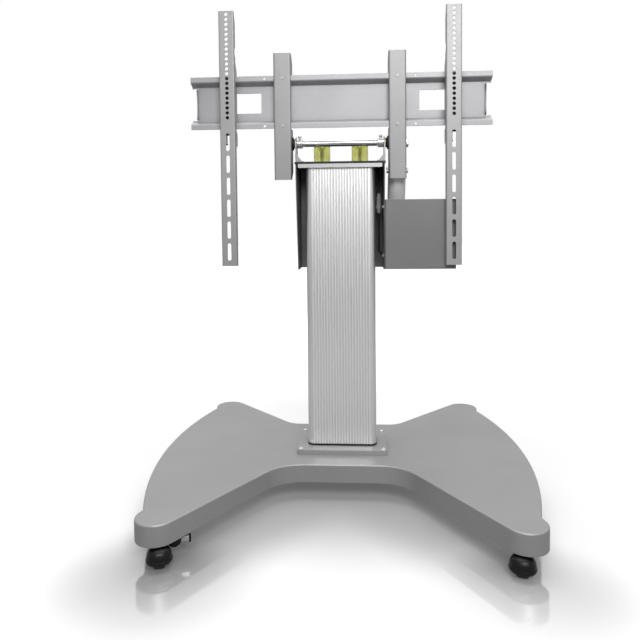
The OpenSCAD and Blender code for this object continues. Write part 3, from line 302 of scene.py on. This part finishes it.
def plastic(name, base, rough, scale=1100.0, bump=0.15, lift=1.6, specular=0.45):
    """Moulded plastic or rubber: fine grain, faint clouds and slightly brighter edges."""
    moulded = Finish(name, specular=specular)
    edge = moulded.edge(PLASTIC_EDGE)
    grain = moulded.noise(scale)
    cloud = moulded.noise(PLASTIC_CLOUDS, detail=3.0)
    colour = moulded.ramp(cloud, (0.3, shaded(base, 0.85)), (0.7, base))
    colour = moulded.mix(moulded.math("MULTIPLY", edge, 0.5), colour, shaded(base, lift, plus=0.004))
    roughness = moulded.span(grain, 0.3, 0.7, rough - 0.06, rough + 0.08)
    moulded.bump(grain, strength=bump, distance=0.0003)
    return moulded.done(colour, roughness)


def fluted(name, base):
    """Satin anodised profile, with painted shade in the valleys of the flutes on each of its faces."""
    satin = Finish(name, metal=1.0)
    at = satin.axes(satin.where)
    facing = satin.axes(satin.node("ShaderNodeNewGeometry").outputs["True Normal"])
    to_side = satin.math("GREATER_THAN", satin.math("ABSOLUTE", facing["X"]), 0.7)
    turn = 2.0 * math.pi / FLUTE_PITCH
    front = satin.math("MULTIPLY", satin.math("COSINE", satin.math("MULTIPLY", at["X"], turn)), -1.0)
    from_middle = satin.math("SUBTRACT", at["Y"], COLUMN_Y)
    side = satin.math("COSINE", satin.math("MULTIPLY", from_middle, turn))
    # Painted shade: darker in the valleys of the flutes, at their pitch
    valley = satin.math("ADD", satin.math("MULTIPLY", satin.math("SUBTRACT", side, front), to_side), front)
    colour = satin.mix(satin.span(valley, -0.2, 1.0, 0.0, 1.0), base, shaded(base, FLUTE_DARK))
    cloud = satin.ramp(satin.noise(FLUTE_CLOUDS), (0.3, 0.47), (0.7, 0.53))
    colour = satin.mix(0.5, colour, cloud, "OVERLAY")
    lines = satin.noise(FLUTE_LINES, rough=0.6, at=satin.stretched((1.0, 1.0, 0.02)))
    return satin.done(colour, satin.span(lines, 0.3, 0.7, 0.33, 0.40))


def urethane(name):
    """Cast polyurethane: translucent yellow-olive, so that the bolt inside shows as a darker core."""
    cast = Finish(name)
    cast.edge(POWDER_EDGE)
    cast.set("Transmission Weight", 0.65)
    cast.set("IOR", 1.4)
    cast.bump(cast.noise(URETHANE_SKIN), strength=0.05, distance=0.0004)
    cloud = cast.noise(URETHANE_CLOUDS, detail=3.0)
    return cast.done(cast.ramp(cloud, (0.3, srgb(226, 229, 132)), (0.7, srgb(236, 238, 152))), 0.22)


M_BASE = powder("base_paint", srgb(163, 162, 163), 0.42, lift=1.5)
M_STEEL = powder("steel_paint", srgb(166, 166, 166), 0.48)
# The upright and rail paints carry painted shade in their nooks and folds
M_UPRIGHT = powder("upright_paint", srgb(159, 159, 160), 0.48, painted_nook_shade=0.5)
M_RAIL = powder("rail_paint", srgb(174, 173, 176), 0.48, painted_nook_shade=0.7)
M_PANEL = powder("panel_paint", srgb(128, 128, 128), 0.5)
# Hood paint: the silver-grey made darker, painted shade for the dim inside of the hood
M_HOOD = powder("hood_paint", srgb(122, 122, 122), 0.5)
# Tube paint: near white, painted light that lifts the tube out of the shadow of the upright
M_TUBE = powder("tube_paint", srgb(250, 250, 249), 0.4, metal=0.1)
M_DARK = powder("dark_paint", srgb(62, 62, 64), 0.55, metal=0.15)
M_BLACK = powder("black_paint", srgb(26, 26, 27), 0.5, metal=0.1)
M_SCREW = powder("painted_screw", srgb(176, 176, 176), 0.45)
M_FLUTED = fluted("anodised_fluted", srgb(250, 250, 251))
M_ANOD = drawn("anodised", srgb(243, 244, 247), 0.36, grain=(1.0, 1.0, 0.01), scale=2600.0, spread=0.98)
M_STRIP = drawn("strip", srgb(176, 177, 178), 0.42, grain=(0.01, 1.0, 1.0), scale=1500.0, spread=0.97)
M_ZINC = metal("zinc", srgb(196, 198, 200), 0.32, scale=300.0)
M_BOLT = metal("bright_bolt", srgb(238, 238, 238), 0.25, scale=300.0)
M_CHROME = metal("chrome", srgb(196, 198, 200), 0.12, grain=(0.03, 1.0, 1.0), scale=500.0, bump=0.02)
M_BRASS = metal("brass", srgb(190, 160, 90), 0.3)
M_PLASTIC = plastic("black_plastic", srgb(24, 24, 25), 0.42)
M_PLUG = plastic("plug_plastic", srgb(165, 165, 163), 0.4)
M_CASTER = plastic("caster_plastic", srgb(8, 8, 7), 0.36, bump=0.05, specular=0.3)
M_RUBBER = plastic("black_rubber", srgb(20, 20, 20), 0.7, scale=500.0)
M_TREAD = plastic("wheel_tread", srgb(14, 13, 11), 0.5, specular=0.3)
M_ACETAL = plastic("acetal", srgb(225, 224, 220), 0.4, lift=1.0)
M_URETHANE = urethane("urethane")

# The CAD nodes that stay, by the finish that each shows
LOOK = {
    M_BASE: ["base_cover", "foot_plate"],
    M_STEEL: ["pivot_ear_left", "pivot_ear_right", "arm_left", "arm_right"],
    M_UPRIGHT: ["upright_left", "upright_right"],
    M_RAIL: ["display_rail"],
    M_TUBE: ["tilt_tube"],
    M_PANEL: ["control_cover"],
    M_HOOD: ["carriage_hood"],
    M_DARK: ["base_frame", "lift_gearbox", "bumper_bolts", "control_box", "tilt_bracket", "tilt_motor"],
    M_BLACK: ["top_plate"],
    M_FLUTED: ["column_outer"],
    M_ANOD: ["column_inner"],
    M_SCREW: ["rail_screws"],
    M_STRIP: ["front_strip"],
    M_BOLT: ["foot_bolts"],
    M_ZINC: ["lift_motor", "caster_stems", "lift_spindle", "top_plate_screws", "cover_screws",
             "shaft_collars", "shaft_nut", "tilt_pin", "tilt_rod", "tilt_fork_pin",
             "caster_axle_fl", "caster_axle_fr", "caster_axle_rl", "caster_axle_rr"],
    M_CHROME: ["tilt_shaft"],
    M_BRASS: ["spindle_nut", "pivot_bushes"],
    M_PLASTIC: ["mains_inlet", "arm_lock_left", "arm_lock_right"],
    M_PLUG: ["lead_connector"],
    M_RUBBER: ["column_gasket", "friction_washers"],
    M_TREAD: ["caster_wheel_fl", "caster_wheel_fr", "caster_wheel_rl", "caster_wheel_rr"],
    M_ACETAL: ["column_glides"],
    M_URETHANE: ["tilt_bumpers"],
}
for look, names in LOOK.items():
    for name in names:
        node = NODES[name]
        if not node.data.materials:
            node.data.materials.append(look)
        for slot in node.material_slots:
            slot.material = look


# Dark plates in the channels of the arms, in metres: painted shade, so that the round holes show dark
PLATE_W = 0.033
PLATE_T = 0.0025
PLATE_BEHIND = 0.009
PLATE_SHORT = 0.004
PLATE_CORNER = 0.004
PLATE_EDGE = 0.0004
SQUARE_EDGE = math.radians(60)


def plate_mesh(name, low, high):
    """A sheet metal plate between two corners, with its own corners rounded and its rims softened."""
    bm = bmesh.new()
    bmesh.ops.create_cube(bm, size=1.0)
    for v in bm.verts:
        v.co = [low[i] + (v.co[i] + 0.5) * (high[i] - low[i]) for i in range(3)]
    through = [e for e in bm.edges if abs(e.verts[0].co.y - e.verts[1].co.y) > PLATE_T / 2]
    bmesh.ops.bevel(bm, geom=through, offset=PLATE_CORNER, segments=5, affect="EDGES")
    rims = [e for e in bm.edges if e.calc_face_angle(0.0) > SQUARE_EDGE]
    bmesh.ops.bevel(bm, geom=rims, offset=PLATE_EDGE, segments=2, affect="EDGES")
    mesh = bpy.data.meshes.new(name)
    bm.to_mesh(mesh)
    bm.free()
    return mesh


def add_shade_plate(side):
    """A dark-painted plate behind the front of one arm, over the height of the rail, as painted shade behind
    its holes.
    """
    arm_low, arm_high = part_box("arm_" + side)
    rail_low, rail_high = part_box("display_rail")
    middle = (arm_low[0] + arm_high[0]) / 2
    front = arm_low[1] + PLATE_BEHIND
    mesh = plate_mesh("shade_plate_" + side, (middle - PLATE_W / 2, front, rail_low[2] + PLATE_SHORT),
                      (middle + PLATE_W / 2, front + PLATE_T, rail_high[2] - PLATE_SHORT))
    # Dark paint: painted shade seen through the holes of the arm
    mesh.materials.append(M_DARK)
    plate = put("shade_plate_" + side, mesh)
    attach(plate, "arm_" + side)


for side in ("left", "right"):
    add_shade_plate(side)


# Motor lead: two lengths that meet in the connector, on the routes that the CAD gives them, in millimetres
LEAD_D = 0.006
LEAD_STEPS = 6
LEAD_UPPER = ((97, 74, 806), (97, 74, 798), (97, 71, 782), (97, 64, 760), (97, 59, 746), (97, 58, 734))
LEAD_LOWER = ((97, 58, 684), (97, 58, 670), (97, 61, 640), (97, 60, 608), (97, 59, 590), (102, 58, 580),
              (108, 58, 578), (140, 58, 578), (192, 58, 578), (212, 58, 578))


def smooth_route(points):
    """Points in metres on a Catmull-Rom curve through points in millimetres."""
    through = [Vector(point) * MM for point in points]
    last = len(through) - 1
    route = []
    for i in range(last):
        a, b, c, d = through[max(i - 1, 0)], through[i], through[i + 1], through[min(i + 2, last)]
        for t in (k / LEAD_STEPS for k in range(LEAD_STEPS)):
            route.append(0.5 * (2 * b + (c - a) * t + (2 * a - 5 * b + 4 * c - d) * t * t
                                + (3 * b - a - 3 * c + d) * t * t * t))
    return route + [through[last]]


def add_lead(name, points, **ends):
    """A round rubber cable on a route."""
    route = smooth_route(points)
    curve = bpy.data.curves.new(name, "CURVE")
    curve.dimensions = "3D"
    curve.bevel_depth = LEAD_D / 2
    curve.bevel_resolution = 6
    curve.use_fill_caps = True
    line = curve.splines.new("POLY")
    line.points.add(len(route) - 1)
    for point, where in zip(line.points, route):
        point.co = (*where, 1.0)
    line.use_smooth = True
    curve.materials.append(M_RUBBER)
    lead = put(name, curve)
    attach(lead, "carriage")
    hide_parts("motor_lead")


add_lead("motor_lead_upper", LEAD_UPPER, with_pieces=[NODES["lead_connector"]])
add_lead("motor_lead_lower", LEAD_LOWER)


# Casters: domed hoods and, on two of them, brake pedals, in place of the plainer forms of the CAD
SWIVEL_X = 0.352
SWIVEL_Y = 0.366
ROUND_STEPS = 48
SMOOTH_UNDER = math.radians(40)

# Of each caster: its side, its end, the turn of its trail in degrees, and the side of its brake or 0
CASTERS = {"fl": (-1, -1, -72, 1), "fr": (1, -1, -108, 0), "rl": (-1, 1, 72, 0), "rr": (1, 1, 108, -1)}

# Hood, in millimetres: the middle and the half size of its lip, its wall, and the height of its cut edge
HOOD_AT = (22.0, 0.0, 20.0)
HOOD_HALF = (24.3, 26.0)
HOOD_WALL = 1.6
HOOD_CUT = 13.0
HOOD_CUT_POWER = 1.1
HOOD_PLAN_POWER = 0.9
HOOD_ROWS = 40
HOOD_COLUMNS = 64

# Above and below the lip: the height, and the powers that square the form along and across the trail
HOOD_ABOVE = (22.5, 0.78, 0.78)
HOOD_BELOW = (14.5, 0.91, 1.05)

# Lip: the share by which the dome is set in above it, the angle where that starts, and over which it grows
LIP_STEP = 0.06
LIP_FROM = -0.02
LIP_OVER = 0.05

# Swivel socket, in millimetres: (radius, height) points of its foot, its collar, and the bore for the stem
SOCKET_FOOT = ((7.3, 35.5), (9.5, 36.8), (11.8, 38.6), (12.0, 40.5), (11.2, 42.0), (11.0, 43.5))
SOCKET_R = 11.0
SOCKET_CHAMFER = 0.6
BORE_R = 4.3
BORE_FLOOR = 36.5

# Knuckle that carries a pedal, in millimetres: its middle in y and z, its radius, its root and its faces
KNUCKLE_AT = (19.0, 40.0)
KNUCKLE_R = 6.0
KNUCKLE_ROOT = 4.0
KNUCKLE_FACES = (-12.0, -6.0)
KNUCKLE_ROUND = 0.6
KNUCKLE_STEPS = 10

# Outlines of a pedal in y and z, in millimetres
PEDAL_HUB = ((15, 42), (14.5, 36), (19, 26), (25, 22), (32, 22), (40, 27), (43.5, 33), (43.5, 41.5),
             (27, 43.5))
PEDAL_WEB = ((26.5, 32.5), (22, 24.5), (25, 22.5), (32, 22.5), (40, 27.5), (43, 33), (43, 41), (27, 42))
PEDAL_TOE = ((57, 41), (57.5, 29), (59, 27.5), (61, 28), (62, 31), (62, 41.5), (60, 43), (58, 42.5))
TREAD_SIDE = ((42, 31.5), (58, 31.5), (58, 41.5), (42, 41.5))
TREAD_TOP = ((42, 39.9), (58, 39.9), (58, 41.4), (42, 41.4))

# The slabs of a pedal and of the plate in it: outline, two places along x, and the rounding of the edges
PEDAL = ((PEDAL_HUB, -16.5, -12.6, 1.6), (PEDAL_HUB, -5.4, -2.9, 1.1), (PEDAL_WEB, -12.9, -5.1, 0.8),
         (PEDAL_TOE, -16.5, -3.5, 1.2))
PEDAL_PLATE = ((TREAD_SIDE, -5.0, -3.6, 0.4), (TREAD_SIDE, -16.4, -15.0, 0.4), (TREAD_TOP, -15.3, -4.7, 0.3))


def at_caster(key):
    """The place of a caster's frame: x along its trail, y along its axle, its brake on the positive side."""
    side, end, turn, brake = CASTERS[key]
    where = Matrix.Translation((side * SWIVEL_X, end * SWIVEL_Y, 0.0))
    flip = Matrix.Diagonal((1, -1 if brake < 0 else 1, 1, 1))
    return where @ Matrix.Rotation(math.radians(turn), 4, "Z") @ flip


def power(value, exponent):
    """A power that keeps the sign of its value."""
    return math.copysign(abs(value) ** exponent, value)


def add_points(bm, points):
    """New vertices at points given in millimetres."""
    return [bm.verts.new([v * MM for v in point]) for point in points]


def add_skin(bm, rings):
    """Faces between rings of vertices, each ring closed on itself."""
    for lower, upper in zip(rings, rings[1:]):
        for k in range(len(lower)):
            after = (k + 1) % len(lower)
            bm.faces.new((lower[k], lower[after], upper[after], upper[k]))


def dome(bm):
    """A hood: squared dome above its lip, drawn in below it, and set in a little just above the lip."""
    lowest = -math.asin(((HOOD_AT[2] - HOOD_CUT) / HOOD_BELOW[0]) ** HOOD_CUT_POWER)
    turns = [2.0 * math.pi * k / HOOD_COLUMNS for k in range(HOOD_COLUMNS)]
    rings = []
    for i in range(HOOD_ROWS):
        tilt = lowest + (math.pi / 2 - lowest) * i / HOOD_ROWS
        height, along, across = HOOD_ABOVE if tilt > 0 else HOOD_BELOW
        step = 1.0 - LIP_STEP * min(max((tilt - LIP_FROM) / LIP_OVER, 0.0), 1.0)
        half_x = HOOD_HALF[0] * power(math.cos(tilt), along) * step
        half_y = HOOD_HALF[1] * power(math.cos(tilt), across) * step
        z = HOOD_AT[2] + height * power(math.sin(tilt), along)
        rings.append(add_points(bm, [(HOOD_AT[0] + half_x * power(math.cos(turn), HOOD_PLAN_POWER),
                                      HOOD_AT[1] + half_y * power(math.sin(turn), HOOD_PLAN_POWER), z)
                                     for turn in turns]))
    add_skin(bm, rings)
    top = add_points(bm, [(HOOD_AT[0], HOOD_AT[1], HOOD_AT[2] + HOOD_ABOVE[0])])[0]
    for k in range(HOOD_COLUMNS):
        bm.faces.new((rings[-1][k], rings[-1][(k + 1) % HOOD_COLUMNS], top))
    bm.normal_update()
    bmesh.ops.solidify(bm, geom=bm.faces[:], thickness=HOOD_WALL * MM)


def turned(bm, profile):
    """A body turned about the swivel axis from (radius, height) points."""
    turns = [2.0 * math.pi * k / ROUND_STEPS for k in range(ROUND_STEPS)]
    rings = []
    for radius, z in profile:
        rings.append(add_points(bm, [(radius * math.cos(turn), radius * math.sin(turn), z)
                                     for turn in turns]))
    add_skin(bm, rings)
    bm.faces.new(rings[0][::-1])
    bm.faces.new(rings[-1])


def slab(bm, outline, near_x, far_x, round_by):
    """A plate cut to an outline of (y, z) points between two places along x, with rounded edges."""
    part = bmesh.new()
    near = add_points(part, [(near_x, y, z) for y, z in outline])
    far = add_points(part, [(far_x, y, z) for y, z in outline])
    part.faces.new(near[::-1])
    part.faces.new(far)
    add_skin(part, [near, far])
    bmesh.ops.recalc_face_normals(part, faces=part.faces[:])
    bmesh.ops.bevel(part, geom=part.edges[:], offset=round_by * MM, segments=3, affect="EDGES",
                    clamp_overlap=True)
    mesh = bpy.data.meshes.new("slab")
    part.to_mesh(mesh)
    part.free()
    bm.from_mesh(mesh)
    bpy.data.meshes.remove(mesh)


def caster_piece(name, bm, key, body, look):
    """Put a caster piece in its place and let it ride on its body."""
    bmesh.ops.transform(bm, matrix=at_caster(key), verts=bm.verts[:])
    bmesh.ops.recalc_face_normals(bm, faces=bm.faces[:])
    mesh = bpy.data.meshes.new(name)
    bm.to_mesh(mesh)
    bm.free()
    mesh.polygons.foreach_set("use_smooth", [True] * len(mesh.polygons))
    mesh.set_sharp_from_angle(angle=SMOOTH_UNDER)
    mesh.materials.append(look)
    piece = put(name, mesh)
    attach(piece, body)
    return piece


def knuckle(bm):
    """The rounded lug on the socket that a pedal swings on."""
    turns = [math.radians(-90 + 180 * k / KNUCKLE_STEPS) for k in range(KNUCKLE_STEPS + 1)]
    y, z = KNUCKLE_AT
    nose = [(y + KNUCKLE_R * math.cos(turn), z + KNUCKLE_R * math.sin(turn)) for turn in turns]
    outline = [(KNUCKLE_ROOT, z - KNUCKLE_R)] + nose + [(KNUCKLE_ROOT, z + KNUCKLE_R)]
    slab(bm, outline, *KNUCKLE_FACES, KNUCKLE_ROUND)


def add_pedal(key):
    """The brake pedal of one caster: a black lever and the bright plate in it."""
    bm = bmesh.new()
    for part in PEDAL:
        slab(bm, *part)
    lever = caster_piece("brake_lever_" + key, bm, key, "brake_" + key, M_CASTER)
    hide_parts("brake_pedal_" + key)
    bm = bmesh.new()
    for part in PEDAL_PLATE:
        slab(bm, *part)
    caster_piece("brake_plate_" + key, bm, key, "brake_" + key, M_SCREW)


def add_caster(key):
    """Hood, swivel socket and knuckle of one caster, and its pedal where it has one."""
    has_brake = CASTERS[key][3] != 0
    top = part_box("caster_housing_" + key)[1][2] / MM
    bm = bmesh.new()
    dome(bm)
    collar = ((SOCKET_R, top - SOCKET_CHAMFER), (SOCKET_R - SOCKET_CHAMFER, top))
    bore = ((BORE_R, top), (BORE_R, BORE_FLOOR))
    turned(bm, SOCKET_FOOT + collar + bore)
    if has_brake:
        knuckle(bm)
    hood = caster_piece("caster_hood_" + key, bm, key, "caster_" + key, M_CASTER)
    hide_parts("caster_housing_" + key)
    if has_brake:
        add_pedal(key)


for key in CASTERS:
    add_caster(key)


# Floor: levels as shares of white, distances in metres from the middle of the base
FLOOR_HALF = 14.0
FLOOR_COLOUR = 0.70
FLOOR_BOUNCE = 0.22
FLOOR_GLOW = 0.26
FLOOR_WHITE_FROM = 0.60
FLOOR_WHITE_AT = 1.7
FLOOR_IN_METAL = 0.34
FLOOR_GLOW_IN_METAL = 0.10
GLOSS_SHARE = 0.34
GLOSS_LEVEL = 1.5
GLOSS_ROUGH = 0.09

# Soft ovals of painted shadow, and the oval of gloss: middle, half size, turn in radians, shares of the size
# between which it fades, and its level
SHADE_UNDER = ((0.0, -0.04), (0.60, 0.42), 0.0, (0.15, 0.95), 0.48)
SHADE_LEGS = ((0.27, -0.30), (0.34, 0.17), -0.67, (0.10, 1.0), 0.60)
SHADE_LEFT_FOOT = ((-0.34, -0.42), (0.24, 0.24), 0.0, (0.08, 1.0), 0.63)
SHADE_RIGHT_FOOT = ((0.40, -0.45), (0.22, 0.22), 0.0, (0.08, 1.0), 0.88)
GLOSS_FEET = ((0.34, -0.43), (0.22, 0.165), 0.0, (0.35, 1.0), 1.0)


def floor_material():
    """White far out, painted shadows near the object on top of its own shadow, and a mirror image under its
    two front feet only.
    """
    material = bpy.data.materials.new("floor")
    floor = Nodes(material)

    def diffuse(level):
        """A matt grey of this level."""
        shader = floor.node("ShaderNodeBsdfDiffuse")
        grey = level if hasattr(level, "is_linked") else (level, level, level, 1.0)
        floor.feed(shader.inputs["Color"], grey)
        return shader.outputs[0]

    def lit(surface, strength):
        """A surface that also glows white."""
        glow = floor.node("ShaderNodeEmission")
        floor.feed(glow.inputs["Strength"], strength)
        added = floor.node("ShaderNodeAddShader")
        floor.feed(added.inputs[0], surface)
        floor.feed(added.inputs[1], glow.outputs[0])
        return added.outputs[0]

    def length(vector):
        """The length of a vector."""
        measured = floor.node("ShaderNodeVectorMath", operation="LENGTH")
        floor.feed(measured.inputs[0], vector)
        return measured.outputs["Value"]

    def patch(where, oval, outside=1.0):
        """A soft oval on the floor: its level in its middle, and another value outside it."""
        middle, size, turn, fade, level = oval
        inside = floor.node("ShaderNodeMapping", vector_type="TEXTURE")
        inside.inputs["Location"].default_value = (*middle, 0.0)
        inside.inputs["Rotation"].default_value = (0.0, 0.0, turn)
        inside.inputs["Scale"].default_value = (*size, 1.0)
        floor.feed(inside.inputs["Vector"], where)
        return floor.span(length(inside.outputs["Vector"]), *fade, level, outside, how="SMOOTHSTEP")

    rays = floor.node("ShaderNodeLightPath").outputs
    everywhere = floor.node("ShaderNodeTexCoord").outputs["Object"]
    at = floor.axes(everywhere)
    folded = floor.node("ShaderNodeCombineXYZ")
    floor.feed(folded.inputs["X"], floor.math("ABSOLUTE", at["X"]))
    floor.feed(folded.inputs["Y"], at["Y"])
    either_side = folded.outputs[0]
    white = floor.span(length(everywhere), FLOOR_WHITE_FROM, FLOOR_WHITE_AT, FLOOR_GLOW, 1.0,
                       how="SMOOTHSTEP")
    # Painted shadow: soft dark ovals under the base, its legs and its front feet
    shade = patch(everywhere, SHADE_UNDER)
    shade = floor.math("MULTIPLY", shade, patch(either_side, SHADE_LEGS))
    for oval in (SHADE_LEFT_FOOT, SHADE_RIGHT_FOOT):
        shade = floor.math("MULTIPLY", shade, patch(everywhere, oval))
    gloss = floor.node("ShaderNodeBsdfGlossy")
    gloss.inputs["Roughness"].default_value = GLOSS_ROUGH
    gloss.inputs["Color"].default_value = (GLOSS_LEVEL, GLOSS_LEVEL, GLOSS_LEVEL, 1.0)
    matt = lit(diffuse(floor.math("MULTIPLY", shade, FLOOR_COLOUR)), floor.math("MULTIPLY", white, shade))
    near_feet = floor.math("MULTIPLY", patch(either_side, GLOSS_FEET, outside=0.0), GLOSS_SHARE)
    shown = floor.shaders(near_feet, matt, gloss.outputs[0])
    in_metal = lit(diffuse(FLOOR_IN_METAL), FLOOR_GLOW_IN_METAL)
    unseen = floor.shaders(rays["Is Glossy Ray"], diffuse(FLOOR_BOUNCE), in_metal)
    out = floor.node("ShaderNodeOutputMaterial")
    floor.feed(out.inputs["Surface"], floor.shaders(rays["Is Camera Ray"], unseen, shown))
    return material


def add_floor():
    """A wide flat floor, which isn't part of the object."""
    mesh = bpy.data.meshes.new("floor")
    far = FLOOR_HALF
    mesh.from_pydata([(-far, -far, 0), (far, -far, 0), (far, far, 0), (-far, far, 0)], [], [(0, 1, 2, 3)])
    mesh.materials.append(floor_material())
    put("floor", mesh)


# Light: strengths of the world, and lamps in watts
WORLD_LIGHT = 0.20
WORLD_SHOWN = 1.0
WORLD_IN_METAL = 0.55


def add_world():
    """Even light on the object, white to the camera and through clear parts, and a softer white in metal."""
    world = bpy.data.worlds.new("studio")
    bpy.context.scene.world = world
    sky = Nodes(world)

    def background(strength):
        """A white background of this strength."""
        shader = sky.node("ShaderNodeBackground")
        shader.inputs["Strength"].default_value = strength
        shader.inputs["Color"].default_value = WHITE
        return shader.outputs[0]

    rays = sky.node("ShaderNodeLightPath").outputs
    seen = sky.math("MAXIMUM", rays["Is Camera Ray"], rays["Is Transmission Ray"])
    unseen = sky.shaders(rays["Is Glossy Ray"], background(WORLD_LIGHT), background(WORLD_IN_METAL))
    out = sky.node("ShaderNodeOutputWorld")
    sky.feed(out.inputs["Surface"], sky.shaders(seen, unseen, background(WORLD_SHOWN)))


def add_lamp(name, where, aim, size, watts, shiny=True):
    """A rectangular lamp that looks at a point, and that shows in gloss and through clear parts if shiny."""
    data = bpy.data.lights.new(name, "AREA")
    data.shape = "RECTANGLE"
    data.size, data.size_y = size
    data.energy = watts
    lamp = put(name, data)
    lamp.location = where
    lamp.rotation_euler = (Vector(aim) - Vector(where)).to_track_quat("-Z", "Y").to_euler()
    lamp.visible_glossy = shiny
    lamp.visible_transmission = shiny


add_floor()
add_world()
add_lamp("key", (0.40, -2.2, 1.90), (0.0, 0.0, 0.85), size=(1.5, 0.9), watts=42.0)
add_lamp("top", (0.0, 0.3, 3.0), (0.0, 0.1, 0.0), size=(2.6, 2.6), watts=66.0)
add_lamp("rear", (-0.9, 2.4, 1.3), (0.0, 0.1, 0.85), size=(1.6, 1.2), watts=14.0, shiny=False)

bpy.context.scene.view_settings.view_transform = "Standard"
